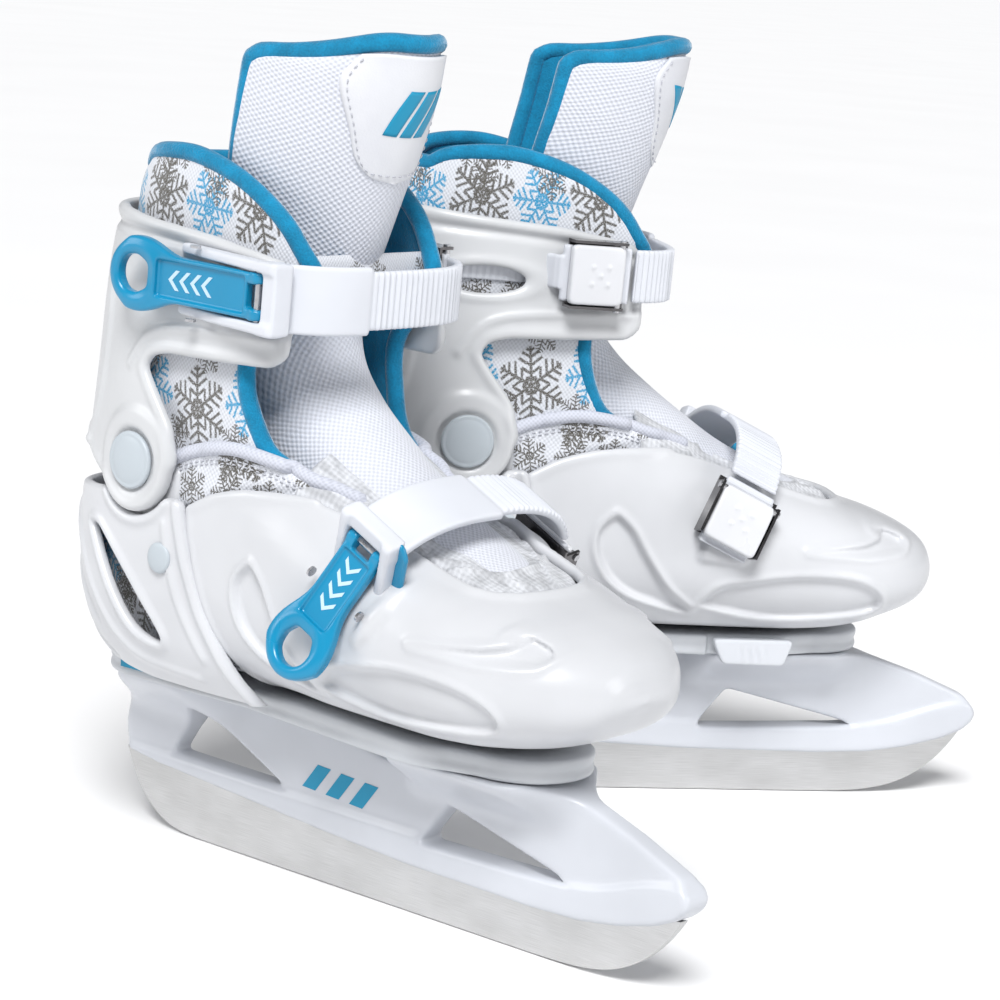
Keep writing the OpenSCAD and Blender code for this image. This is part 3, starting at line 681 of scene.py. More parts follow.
def holder():
    """Rail that grips the runner, a thinner web with two windows, and flares up to the sole."""
    g = Grid((12, -28, 12), (271, 28, 62), 1.0)
    side = drawn(g, HOLDER_SIDE, 1.0)
    windows = np.minimum(*[drawn(g, points, 0.9) for points in HOLDER_WINDOWS])
    rear = ramp(g.x, 14, 26) * (1 - ramp(g.x, 52, 74)) * 15
    front = ramp(g.x, 148, 158) * (1 - ramp(g.x, 202, 226)) * 20
    rail_top = 27 + 9 * ramp(g.x, 222, 262)
    half = WEB_HALF + (RAIL_HALF - WEB_HALF) * (1 - ramp(g.z, rail_top - 1, rail_top + 2.5))
    half = half + (rear + front) * ramp(g.z, 36, 59) ** 1.5
    field = smax(smax(side, np.abs(g.y) - half, 2.2), -windows, 2.0)
    field = smax(field, g.z - 58, 0.6)
    slot = smax(np.abs(g.y) - 1.7, g.z - 23.8, 0.2)
    moulded("holder", g, smax(field, -slot, 0.3), "base", HOLDER, "holder_plastic", ["holder"])


def rocker(x):
    """How far the running edge curves up at x, towards both ends."""
    rise = np.where(x < 62, (np.maximum(62 - x, 0) / 46.5) ** 4, (np.maximum(x - 190, 0) / 72) ** 4.5)
    return 25 * rise


def blade():
    """Steel runner with a slight hollow-ground foot and eased corners."""
    xs = np.concatenate([np.linspace(15.6, 62, 40), np.linspace(66, 186, 31), np.linspace(190, 261.8, 46)])
    section = [(-1.2, 0.0), (-1.6, 0.5), (-1.6, 1.0), (1.6, 1.0), (1.6, 0.5), (1.2, 0.0), (0.0, 0.25)]
    points, uv = [], []
    for x in xs:
        low = float(rocker(x))
        high = float(np.interp(x, [15, 20, 26, 240, 262], [25.2, 24.0, 23.4, 23.4, 25.2]))
        for y, up in section:
            z = low + up if up < 1 else max(high, low + 0.6)
            points.append((x, y, z))
            uv.append((x, z + (30 if up in (0.0, 0.25) else 0)))
    n = len(section)
    faces = grid_faces(len(xs), n, closed=True)
    faces.append(tuple(range(n))[::-1])
    faces.append(tuple(range((len(xs) - 1) * n, len(xs) * n)))
    add("runner", points, faces, "base", STEEL, "runner_steel", ["blade"], uv=uv, crease=True)


def lozenge(u, v, stations):
    """Outline of round-ended spans between (u, radius) stations, as a distance."""
    best = 1e9
    for (a, ra), (b, rb) in zip(stations, stations[1:]):
        t = np.clip((u - a) / (b - a), 0, 1)
        best = np.minimum(best, np.sqrt((u - a - t * (b - a)) ** 2 + v * v) - (ra + t * (rb - ra)))
    return best


def sole_plate():
    g = Grid((8, -38, 54), (232, 38, 69), 0.9)
    plan = lozenge(g.x, g.y, [(40, 25), (92, 22.5), (168, 30), (195, 22)])
    rib = 0.7 * bump(g.z - 61.5, 1.0)
    field = smax(smax(plan + rib, g.z - 65.6, 1.4), 58.1 - g.z, 1.4)
    pocket = smax(smax(np.abs(g.x - 169.5) - 15.9, 26.2 - g.y, 0.3), g.z - 66, 0.3)
    moulded("sole_plate", g, smax(field, -pocket, 0.8), "base", SOLE, "sole_plastic", ["sole_plate"])


def size_button():
    g = Grid((150, 26, 54), (189, 36.5, 68), 0.6)
    face = drawn(g, [(154, 65.4), (185, 65.4), (181.5, 55.7), (158.5, 56.1)], 0.9)
    across = g.x - 169.5
    grip = 0.35 * np.cos(across * math.pi / 1.6) * ramp(6 - np.abs(across), 0, 2) * bump(g.z - 60, 2.6)
    field = smax(smax(face, g.y - 33.3 - grip, 0.9), 29.1 - g.y, 0.5)
    moulded("size_button", g, field, "button", BUTTON, "button_plastic", ["size_button"])


# ---------------------------------------------------------------- shells

TOE_REAR = ([(50, 50), (109, 50), (104, 63), (98.5, 76), (90.5, 91), (84, 107), (80.5, 118)]
            + fine([(80, 125.2), (92, 131.2), (107, 134.9), (123, 136.2), (133, 138), (146, 146)], 4)
            + [(146, 260), (50, 260)])
TOE_OPENING = [(110, 37.5), (125, 35), (139, 31.5), (152, 27.8), (168, 25.2), (182, 24.6), (190, 23.6),
               (195.5, 20.5), (199.5, 14), (201, 6), (201.2, 0)]
HEEL_SIDE = [(-5, 66), (110, 60), (107, 66), (99.5, 78), (91.5, 93), (85, 108), (81.5, 120), (80, 127),
             (50, 126.5), (34, 124.8), (-5, 121)]
CUFF_SIDE = ([(0, 140), (14, 141), (38, 129.5), (57, 121), (76, 138), (73, 150), (64, 162), (60, 168),
              (63, 172), (70, 173.5), (113, 174.2), (118, 178), (118.5, 202), (114, 208), (106, 210),
              (86, 213.5), (58, 216), (36, 218.5), (0, 219)])


def both_sides(half):
    """An outline's lateral half, and back along its mirror image."""
    return half + [(x, -y) for x, y in half[::-1]]


def leaf(g, points, deep, rim, blur=0.7):
    """Height of a sunk leaf with a crisp raised rim."""
    o = drawn(g, points, blur)
    return rim * bump(o - 1.0, 1.2) - deep * ramp(-o, -0.3, 2.2)


def wire(g, path, width):
    """1 along a smooth path drawn on the side of the boot, falling to 0 beside it."""
    return bump(line(fine(path, 5), g.x, g.z), width)


def walled(d, relief, thickness=3.0):
    """Wall whose outer face carries the relief, and whose inner face follows what is sunk."""
    return smax(d - relief, -(d + thickness - np.minimum(relief, 0)), 0.8)


def toe_shell():
    g = Grid((74, -49, 62), (245, 49, 148), 0.95)
    d = foot(g)
    rear = outline(TOE_REAR, g.x, g.z)
    hole = outline([(60, 38)] + both_sides(TOE_OPENING) + [(60, -38)], g.x, g.y, 1.0, g.step)
    high = ramp(g.z, 96, 102)
    ear = leaf(g, fine([(113, 112.5), (107.5, 107.5), (106.3, 101), (108.7, 93.3), (114.2, 86.6), (124, 81),
                        (143, 76.5), (133, 86), (124.5, 98), (119, 107), (113, 112.5)], 4), 2.0, 0.9)
    low = leaf(g, fine([(145, 80), (152, 87), (163.7, 89.6), (180.4, 91.8), (197.7, 91.2), (209, 88.2),
                        (214.8, 83.3), (212.3, 78.2), (196, 75.8), (169.3, 75), (145, 80)], 4), 2.2, 0.9)
    swoosh = leaf(g, [(184, 101), (197, 102.0), (207, 103.0), (213.5, 104.6), (214.6, 105.8), (211, 108),
                      (217.5, 107.2), (223.5, 105), (226.4, 102.6), (224, 100.2), (218, 99.4), (208, 99.2),
                      (197, 100.2)], 1.9, 0.8, 0.5)
    plate = drawn(g, [(162, 93.5), (160, 98), (164, 106.5), (169.5, 114), (176.5, 119.5), (175.5, 108),
                      (170, 99)], 0.8)
    fin = 2.0 * ramp(-plate, -0.6, 1.6) * ramp(-plate, -1, 5) * (g.y < 0)
    seat = drawn(g, [(143, 97), (151, 121), (160, 129), (169, 125), (167, 108), (160, 96)], 1.2)
    lug = 2.0 * ramp(-seat, -1.5, 1.2) * (g.y > 0)
    relief = ear + low + swoosh + fin + lug + 1.1 * bump(hole - 2.2, 1.5) * high
    relief = relief + 0.7 * bump(rear - 1.8, 1.5)
    # soft shoulder line along the foot of the shell
    relief = relief + 0.7 * bump(g.z - 70.5 - 0.05 * np.maximum(g.x - 200, 0), 1.8) * ramp(g.x, 118, 140)
    shell = smax(walled(d, relief), -rear, 1.2)
    shell = smax(shell, -smax(hole, 98 - g.z, 0.5), 1.2)
    # tail that slides inside the heel shell
    inner = np.maximum(d, leg(g))
    behind = outline([(x - 15, z) for x, z in TOE_REAR], g.x, g.z)
    tail = smax(inner + 3.3, -(inner + 4.5), 0.4)
    tail = smax(smax(tail, -behind, 0.6), smax(g.z - 103, g.x - 135, 1), 0.6)
    moulded("toe_shell", g, smin(shell, tail, 0.5), "toe", SHELL, "shell_plastic", ["toe_shell"])


def ankle_distance(g):
    return np.hypot(g.x - ANKLE[0], g.z - ANKLE[1])


def heel_shell():
    g = Grid((-6, -49, 62), (122, 49, 154), 1.0)
    d = leg(g)
    side = drawn(g, HEEL_SIDE, 1.2)
    from_ankle = ankle_distance(g)
    side = smax(side, 17.9 - from_ankle, 1.0)
    window = drawn(g, fine([(34, 112), (41, 101.5), (49, 90.5), (55.5, 83), (62.5, 79.3), (70.5, 78.6),
                            (67.4, 84.5), (58.5, 94.5), (48.6, 104), (39, 111.5), (34, 112)], 4), 0.6)
    front = line(HEEL_SIDE[1:8], g.x, g.z)
    relief = 1.6 * bump(front - 2.2, 1.9) + 1.2 * bump(from_ankle - 20.0, 1.6) * (g.z < 126)
    relief = relief + 1.3 * bump(window - 2.0, 1.5)
    for path in ([(6, 119), (18, 110), (31, 94), (44, 79), (60, 70.5), (86, 68)],
                 [(73, 118), (76, 104), (82, 90), (90, 76)]):
        relief = relief + wire(g, path, 1.5)
    relief = relief - 1.3 * wire(g, [(12, 88), (24, 75), (40, 67)], 1.5)
    hollow = drawn(g, [(8, 108), (16, 103), (30, 86), (40, 75), (30, 78), (16, 92)], 0.8)
    relief = relief - 1.2 * ramp(-hollow, -0.3, 2.0)
    shell = smax(walled(d, relief), side, 1.4)
    shell = smax(shell, -window, 1.4)
    arm = smin(from_ankle - 15, smax(np.abs(g.x - 59) - 16, np.abs(g.z - 122) - 14, 1.0), 2.0)
    arm = smax(smax(d + 3.6, -(d + 6.4), 0.5), arm, 0.8)
    block = smax(np.abs(g.x - 61) - 18, np.abs(g.z - 113.5) - 4.5, 1)
    neck = smax(smax(d + 1.2, -(d + 6.4), 0.5), block, 0.8)
    moulded("heel_shell", g, smin(smin(shell, arm, 0.5), neck, 0.8), "base", SHELL, "shell_plastic",
            ["heel_shell"])


def cuff():
    g = Grid((1, -50, 114), (123, 50, 224), 1.0)
    d = leg(g)
    from_ankle = ankle_distance(g)
    edge = drawn(g, CUFF_SIDE, 1.4)
    side = smin(edge, from_ankle - 17, 2.0)
    slot = np.hypot((g.x - 60) / 14.5, (g.z - 194) / 4.8) - 1
    slot = np.where(g.y > 0, slot * 5.2, 9.0)
    relief = 1.5 * (1 - ramp(from_ankle, 15.5, 19)) - 1.3 * (1 - ramp(from_ankle, 9.8, 11.2))
    relief = relief + 0.9 * bump(side + 2.0, 1.8) + 0.8 * bump(slot - 2.0, 1.6)
    relief = relief - 1.2 * wire(g, [(12, 212.5), (40, 212), (75, 209.5), (100, 206), (113, 203)], 1.3)
    relief = relief + 1.1 * wire(g, [(52, 168), (62, 179), (80, 182.5), (113, 183)], 1.4)
    relief = relief + 1.1 * wire(g, [(24, 138), (33, 156), (37, 178), (36, 200)], 1.8)
    relief = relief - 1.4 * ramp(g.x, 104, 114) * ramp(g.z, 183, 186.5) * (1 - ramp(g.z, 211, 214))
    shell = smax(smax(walled(d, relief, 2.8), side, 1.4), -slot, 1.2)
    moulded("cuff", g, shell, "cuff", CUFF, "cuff_plastic", ["cuff"])


def turned(profile, axis_at, outward, n=48):
    """Points and quads of a profile of (radius, height) pairs turned about an axis along y."""
    points = [(axis_at[0] + radius * math.cos(a), outward * height, axis_at[1] + radius * math.sin(a))
              for radius, height in profile for a in 2 * math.pi * np.arange(n) / n]
    faces = grid_faces(len(profile), n, closed=True)
    return points, faces if outward > 0 else [q[::-1] for q in faces]


def rivets():
    """Domed caps with a ring groove, on both sides of the ankle and of the shell."""
    big = [(4, 36.5), (4, 43.6), (9.3, 43.7), (9.5, 44.6), (9.2, 45.3), (8.6, 45.5), (8.1, 45.35),
           (7.6, 45.55), (6, 45.9), (4, 46.15), (2, 46.28), (0.05, 46.3)]
    small = [(2.4, 40), (2.4, 43), (4.9, 43.3), (5.1, 44.0), (4.8, 44.5), (4.2, 44.75), (2.6, 45.0),
             (1.2, 45.1), (0.05, 45.12)]
    points, faces = together([turned(profile, at, outward) for outward in (1, -1)
                              for profile, at in ((big, ANKLE), (small, SHELL_RIVET))])
    add("rivets", points, faces, "base", RIVET, "rivet_plastic", ["rivets"])


# ---------------------------------------------------------------- straps and buckles

class Path:
    """A strap's middle line over the boot, in the strap's own frame."""

    def __init__(self, half, reach, power):
        self.half, self.reach, self.power = half, reach, power
        t = np.linspace(-math.pi / 2, math.pi / 2, 721)
        self.x = reach * np.abs(np.cos(t)) ** (2 / power)
        self.y = half * np.sign(t) * np.abs(np.sin(t)) ** (2 / power)
        self.s = lengths(np.stack([self.x, self.y], axis=1))
        self.s -= np.interp(0, self.y, self.s)
        self.angle = np.arctan2(self.y, self.x)

    def along(self, x, y):
        """Arc length from the front middle, for points near the path."""
        return np.interp(np.arctan2(y, np.maximum(x, 1e-3)), self.angle, self.s)

    def out(self, g):
        """Distance outside the middle line."""
        power = self.power
        q = (np.abs(g.x / self.reach) ** power + np.abs(g.y / self.half) ** power) ** (1 / power)
        return distance(q - 1 + 0 * g.z, g.step)


UPPER_PATH = Path(46.8, 65, 3.4)
LOWER_PATH = Path(49.5, 46.7, 2.8)
BAND = 1.1
RIB_PITCH = 2.5


def ribs(s, first):
    """Ratchet ribs beyond an arc length."""
    return 0.9 * ramp(np.cos(2 * math.pi * s / RIB_PITCH), -0.5, 0.7) * ramp(s, first - 0.4, first + 0.4)


def lever_space(g, hinge, turn):
    """Coordinates along a lever and outwards from it, for points of the strap's frame."""
    c, s = math.cos(math.radians(turn)), math.sin(math.radians(turn))
    dx, dy = g.x - hinge[0], g.y - hinge[1]
    return dx * c + dy * s, dx * s - dy * c


def strap(name, path, matrix, hinge, turn, start, mouth, rails, nose, ribbed, thick):
    """Smooth lever housing that runs into a narrower ribbed band."""
    g = Grid((hinge[0] - rails - 6, -path.half - 16, -12.6), (path.reach + 3, path.half + 3, 12.6), 0.62)
    out = path.out(g)
    s = path.along(g.x, g.y)
    half = 10.9 - 1.5 * ramp(s, ribbed - 0.5, ribbed + 0.5)
    lift = ribs(s, ribbed + 1.5) + 0.5 * (1 - ramp(s, ribbed - 0.5, ribbed + 0.4))
    band = smax(smax(out - BAND - lift, -(out + BAND), 0.5), np.abs(g.z) - half, 1.1)
    band = smax(band, np.where(g.y > 0, mouth, start) - g.x, 0.4)
    q, w = lever_space(g, hinge, turn)
    taper = 1.6 * ramp(-q, rails * 0.55, rails)
    box = smax(np.abs(g.z) - 11.4, 7.95 - np.abs(g.z), 0.5)
    rail = smax(smax(w - 3.1 + taper, -(w + 2.1), 0.9), smax(q - nose, -(q + rails), 1.6), 1.2)
    rail = smax(rail, box, 1.0)
    block = smax(smax(w - 2.0, -(w + thick), 0.8), smax(q - nose - 1, 3.4 - q, 0.8), 0.8)
    block = smax(block, np.abs(g.z) - 11.3, 1.0)
    swept = smax(smax(np.abs(g.z) - 7.9, q - 3.3 - 0.2 * np.maximum(w, 0), 0.3), -(w + 2.4), 0.3)
    moulded(name, g, smax(smin(smin(band, rail, 2.0), block, 1.6), -swept, 0.5), name, STRAP, "strap_plastic",
            [name], matrix=matrix)


def ladder(name, path, matrix, mouth, end, body, free_end=None):
    """Ribbed strap that runs on under the ratchet buckle."""
    g = Grid((-24 if free_end else 2, 30, -11), (mouth + 2, path.half + 3.5, 11), 0.7)
    out = path.out(g)
    lift = ribs(path.along(g.x, g.y), 0.0)
    band = smax(smax(out - BAND - lift + 0.2, -(out + BAND), 0.4), np.abs(g.z) - 9.9, 0.9)
    band = smax(band, smax(g.x - mouth, end - g.x, 0.4), 0.4)
    if free_end:
        tail = outline(free_end, g.x, g.y) - 0.45 * (0.5 + 0.5 * np.cos(2 * math.pi * g.x / RIB_PITCH))
        band = smin(band, smax(tail + 0.2, np.abs(g.z) - 5.9, 0.6), 0.5)
    moulded(name, g, band, body, STRAP, "ladder_plastic", [name], matrix=matrix)


def lever(name, matrix, length, body):
    """Blue lever: two hinge knuckles, a sunk channel and a teardrop finger loop."""
    g = Grid((-length - 2, -3.6, -13), (5, 5.2, 13), 0.55)
    loop = length - 11.5
    u, w = g.x, g.y
    ring = np.hypot(u + loop, g.z) - 11.4
    shank = smax(np.abs(g.z) - 7.4, smax(u - 0.5, -(u + loop), 0.5), 1.0)
    plan = smin(ring, shank, 9.0)
    crown = 2.2 + 0.9 * bump(ring + 2.6, 2.4)
    body_field = smax(smax(plan, w - crown, 1.2), -(w + 1.7), 1.0)
    knuckles = smax(np.hypot(u, w) - 2.65, np.abs(np.abs(g.z) - 5.8) - 1.6, 0.5)
    gap = smax(smax(np.abs(g.z) - 4.0, -(u + 3.4), 0.4), -4.0 - w, 0.4)
    body_field = smin(smax(body_field, -gap, 0.6), knuckles, 1.0)
    channel = smax(smax(np.abs(g.z) - 5.9, smax(-(u + loop - 8.5), u + 4.4, 0.8), 0.8), 1.0 - w, 0.4)
    body_field = smax(body_field, -channel, 0.7)
    point = np.maximum(u + loop, 0) * 0.5
    hole = smax(np.hypot(u + loop + 0.8, g.z) - 6.4, np.abs(g.z) - 6.2 + point, 1.2)
    hole = smax(hole, u + loop - 4.4, 1.0)
    moulded(name, g, smax(body_field, -hole, 1.4), body, BLUE, "lever_blue", [name], matrix=matrix)
    parts = []
    for k in range(4):
        tip = -loop + 13 + 4.6 * k
        shape = ((0, 0), (3, 3.2), (4.6, 3.2), (1.6, 0), (4.6, -3.2), (3, -3.2))
        base = [(tip + a, height, b) for height in (1.02, 1.14) for a, b in shape]
        parts.append((placed(matrix, base), [(6, 7, 8, 9), (6, 9, 10, 11)] + grid_faces(2, 6, closed=True)))
    points, faces = together(parts)
    faces = oriented(np.array(faces), matrix).tolist()
    add(name + "_chevrons", points, faces, body, PRINT_PALE, "lever_blue", crease=True)


def ratchet_cap(name, matrix, body):
    """Thumb cap with a slight crown and five moulded dimples."""
    g = Grid((-14, 2, -12.5), (11.5, 10, 12.5), 0.5)
    u, z = g.x, g.z
    top = 7.2 - 0.9 * ((u + 2) / 11) ** 2 * (u > -2) - 0.35 * (z / 10.6) ** 2
    plan = smax(np.abs(u + 1.6) - 10.2, np.abs(z) - 10.5, 2.4)
    for du, dz in ((-3.5, 3), (-3.5, -3), (-0.5, 0), (2.5, 3), (2.5, -3)):
        top = top + 0.55 * bump(np.hypot(u - du + 0.5, z - dz), 0.85)
    field = smax(smax(plan, g.y - top, 1.2), 3.8 - g.y, 0.6)
    moulded(name, g, field, body, CAP, "cap_plastic", [name], matrix=matrix)


def lower_base():
    """Blue flexible base that shows beside the lower strap's front rail."""
    g = Grid((4, -56, -16.5), (44, -34, -8), 0.6)
    q, w = lever_space(g, (33, -42), -17.7)
    width = 10.5 + 4.6 * ramp(q, -26, -6) * (1 - ramp(q, 4, 12))
    field = smax(smax(w + 1.3, -(w + 3.2), 0.6), smax(-g.z - width, g.z + 9.2, 0.6), 0.8)
    field = smax(field, smax(-(q + 26), q - 9, 1.5), 1.5)
    moulded("lower_base", g, field, "toe", BLUE, "lever_blue", matrix=LOWER)


def holder_bars():
    """Three generic slanted bars printed on the outer face of the holder's web."""
    width, height, print_thick = 30, 9, 0.12
    origin, along = np.array((104, -WEB_HALF - 0.03, 31.5)), np.array((0.9986, 0, -0.052))
    parts = []
    for left in 0.36 * width * np.arange(3):
        corners = ((0, 0), (0.2, 0), (0.42, height), (0.22, height))
        points = [origin + along * (left + a * width) + (0, -lift, b)
                  for lift in (0.0, print_thick) for a, b in corners]
        parts.append((points, [(4, 5, 6, 7)] + grid_faces(2, 4, closed=True)))
    points, faces = together(parts)
    add("holder_bars", points, faces, "base", PRINT_BLUE, "holder_plastic", crease=True)


def heel_badge():
    """Plain blue strip on the outer side of the sole, at the heel."""
    grid = np.array([[(x, -25.35 + 0.048 * (x - 40), 61.2 + (3.6 - 2.2 * (x - 36) / 21) * v)
                      for v in np.linspace(0, 1, 4)] for x in np.linspace(36, 57, 12)])
    normal = np.tile((0.0, -1.0, 0.0), (*grid.shape[:2], 1))
    points, faces = slab(grid, normal, 0.5)
    add("heel_badge", points, facing(points, faces, (45, 0, 62)), "base", PRINT_BLUE, "sole_plastic")


# ---------------------------------------------------------------- soft parts

def soft(fill, name, points, faces, body, material, slot, stands_for=(), normals=None, **more):
    """A padded piece, made like any other."""
    for piece in add(name, points, faces, body, material, slot, stands_for, normals, **more):
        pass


def sweep(points, radius, n=12):
    """Round tube along points, closed to a point at its ends: points and quads."""
    p = np.array(points, float)
    tangent = np.gradient(p, axis=0)
    tangent /= np.linalg.norm(tangent, axis=1)[:, None]
    side = np.cross(tangent[0], (0.1, 0.3, 1))
    rings = []
    radii = np.full(len(p), radius, float)
    radii[0] = radii[-1] = 0.05
    a = np.linspace(0, 2 * math.pi, n, endpoint=False)[:, None]
    for i in range(len(p)):
        side = side - tangent[i] * side.dot(tangent[i])
        side /= np.linalg.norm(side)
        other = np.cross(tangent[i], side)
        rings.append(p[i] + radii[i] * (np.cos(a) * side + np.sin(a) * other))
    return np.vstack(rings), grid_faces(len(p), n, closed=True)


def even(points, step):
    """Points respaced evenly along a polyline."""
    p = np.array(points, float)
    s = lengths(p)
    t = np.linspace(0, s[-1], max(4, int(s[-1] / step)))
    return np.stack([np.interp(t, s, p[:, k]) for k in range(3)], axis=1)


def together(parts):
    """Several (points, faces) as one."""
    points, faces = [], []
    for p, f in parts:
        faces += [tuple(int(i) + len(points) for i in q) for q in f]
        points += [tuple(q) for q in np.asarray(p)]
    return np.array(points), faces


def grid_faces(rows, columns, closed=False):
    """Quads over rows of points, with the last column joined to the first where closed."""
    count = columns if closed else columns - 1
    return [(i * columns + k, i * columns + (k + 1) % columns, (i + 1) * columns + (k + 1) % columns,
             (i + 1) * columns + k) for i in range(rows - 1) for k in range(count)]


def facing(points, faces, inside):
    """Faces turned so that most point away from the given inside point."""
    p = np.asarray(points)
    f = np.array(faces)
    normal = np.cross(p[f[:, 1]] - p[f[:, 0]], p[f[:, 2]] - p[f[:, 0]])
    away = p[f].mean(axis=1) - inside
    return faces if np.sum(normal * away) > 0 else [tuple(q[::-1]) for q in faces]


def slab(surface_points, normals, thickness):
    """Closed sheet under a grid of points: points and quads."""
    rows, columns = surface_points.shape[:2]
    top = surface_points.reshape(-1, 3)
    low = top - normals.reshape(-1, 3) * thickness
    n = len(top)
    faces = grid_faces(rows, columns)
    under = [tuple(i + n for i in q[::-1]) for q in faces]
    edge = ([k for k in range(columns)] + [i * columns + columns - 1 for i in range(1, rows)]
            + [(rows - 1) * columns + k for k in range(columns - 2, -1, -1)]
            + [i * columns for i in range(rows - 2, 0, -1)])
    sides = [(edge[(i + 1) % len(edge)], edge[i], edge[i] + n, edge[(i + 1) % len(edge)] + n)
             for i in range(len(edge))]
    return np.vstack([top, low]), faces + under + sides


def grid_normals(p, toward):
    """Unit normals of a grid of points, on the side that faces toward."""
    n = np.cross(np.gradient(p, axis=0), np.gradient(p, axis=1))
    n /= np.linalg.norm(n, axis=2)[..., None] + 1e-9
    return n if np.sum(n * toward) > 0 else -n


def stitches(path, outward, pitch, length, thick):
    """A row of small raised threads along a path."""
    p = even(path, pitch)
    parts = []
    for a, b in zip(p, p[1:]):
        way = (b - a) / (np.linalg.norm(b - a) + 1e-9)
        mid = (a + b) / 2
        parts.append(sweep([mid + way * length * t + np.array(outward) * 0.28 * (1 - (2 * t) ** 2)
                            for t in (-0.5, -0.3, 0.0, 0.3, 0.5)], thick, 6))
    return together(parts)


LINER_TOP = [(119.4, 200.3), (114.6, 211.5), (106, 221.6), (91, 231), (74.4, 236.4), (61.9, 237.6),
             (47.8, 235.9), (41, 231.8)]
LINER_FRONT = [(118, 140), (106.5, 147), (99.5, 162), (98.5, 176), (105, 186), (119.4, 200.3)]
LINER_WALL = 4.0
LINER_IN_FOOT = 5.2  # how far the liner lies inside the forefoot's form


def liner_depth(z):
    """How far the liner lies inside the leg's form."""
    return 7 - 1.2 * ramp(z, 150, 165)


def leg_side(x, z, d, hand):
    """Point of the leg's form, drawn in by d, on one side of the boot."""
    reach, power = (FRONT - d - MID, 3) if x > MID else (MID - float(LEG_REAR(z)) - d, 2.3)
    share = max(0.0, 1 - abs((x - MID) / reach) ** power)
    return np.array((x, hand * (float(LEG_HALF(z)) - d) * share ** (1 / power), z))


def liner():
    """Padded liner in one skin: foot, ankle and collar, lined with blue pile."""
    g = Grid((4, -42, 70), (240, 42, 242), 1.35)
    d, f = leg(g), foot(g)
    depth = liner_depth(g.z)
    puff = 1.1 * bump(g.z - 152, 9) * ramp(g.x, 60, 80) + 1.0 * bump(g.z - 226, 8)
    outer = np.where(g.x < 118, d + depth - puff, 9.0)
    outer = np.minimum(smax(outer, g.x - 116, 1.0), smax(f + LINER_IN_FOOT, 82 - g.x, 1.0))
    inner = np.minimum(smax(d + depth + LINER_WALL, g.x - 114, 0.5),
                       smax(f + LINER_IN_FOOT + LINER_WALL, 70 - g.x, 1))
    keep = drawn(g, [(-5, 60), (240, 60), (240, 150), (150, 137), (124, 139)] + fine(LINER_FRONT, 4)
                 + fine(LINER_TOP, 4) + [(31, 232), (-5, 226)], 0.8)
    field = smax(outer, -smax(inner, 76 - g.z, 1.5), 2.0)
    field = smax(smax(field, keep, 2.4), 72.4 - g.z, 1.0)
    points, quads, normals = skin(g, field)
    from_middle = points[quads].mean(axis=1) - (MID, 0, 0)
    lining = np.sum((normals[quads].mean(axis=1) * from_middle)[:, :2], axis=1) < 0
    blend = ("base", "cuff", (60, 0, 140), (60, 0, 172))
    soft(0.8, "liner", points, quads.tolist(), None, LINER_CLOTH, "printed_fabric",
         ["liner_foot", "liner_collar"], normals, uv=leg_uv(points), second=(PILE, lining), blend=blend)
    # piping from one front edge, round the back and down the other
    half = [(x, z, float(liner_depth(z)) + 1.6) for x, z in fine(LINER_FRONT + LINER_TOP[1:], 6)]
    lateral = [leg_side(x, z, dd, -1) for x, z, dd in half]
    back = []
    end_x, end_z, dd = half[-1]
    reach = MID - float(LEG_REAR(end_z)) - dd
    start = math.acos(min(1.0, ((MID - end_x) / reach) ** (2.3 / 2)))
    for t in np.linspace(start, -start, 25)[1:-1]:
        c, s = math.cos(t), math.sin(t)
        back.append(np.array((MID - reach * c ** (2 / 2.3), -np.sign(s) * (float(LEG_HALF(end_z)) - dd)
                              * abs(s) ** (2 / 2.3), end_z + 0.4)))
    medial = [leg_side(x, z, dd, 1) for x, z, dd in half[::-1]]
    path = even(lateral + back + medial, 1.6)
    tube, faces = sweep(path, 3.0, 14)
    soft(0.9, "liner_piping", tube, faces, None, PILE, "printed_fabric", blend=blend)


def foot_side(x, z, d):
    """Half width of the forefoot's form, drawn in by d."""
    wide = float(FOOT_WIDE(x))
    tall = max(float(FOOT_CROWN(x)) - wide if z > wide else wide - float(FOOT_LOW(x)), 0.5)
    share = max(0.0, 1 - abs((z - wide) / tall) ** 2.5)
    return float(foot_half(x)) * share ** (1 / 2.5) - d


QUARTER_TOP = [(64, 134), (70, 138.5), (81, 143.3), (97, 146.2), (113, 144.2), (124, 140.8), (142, 135.2)]


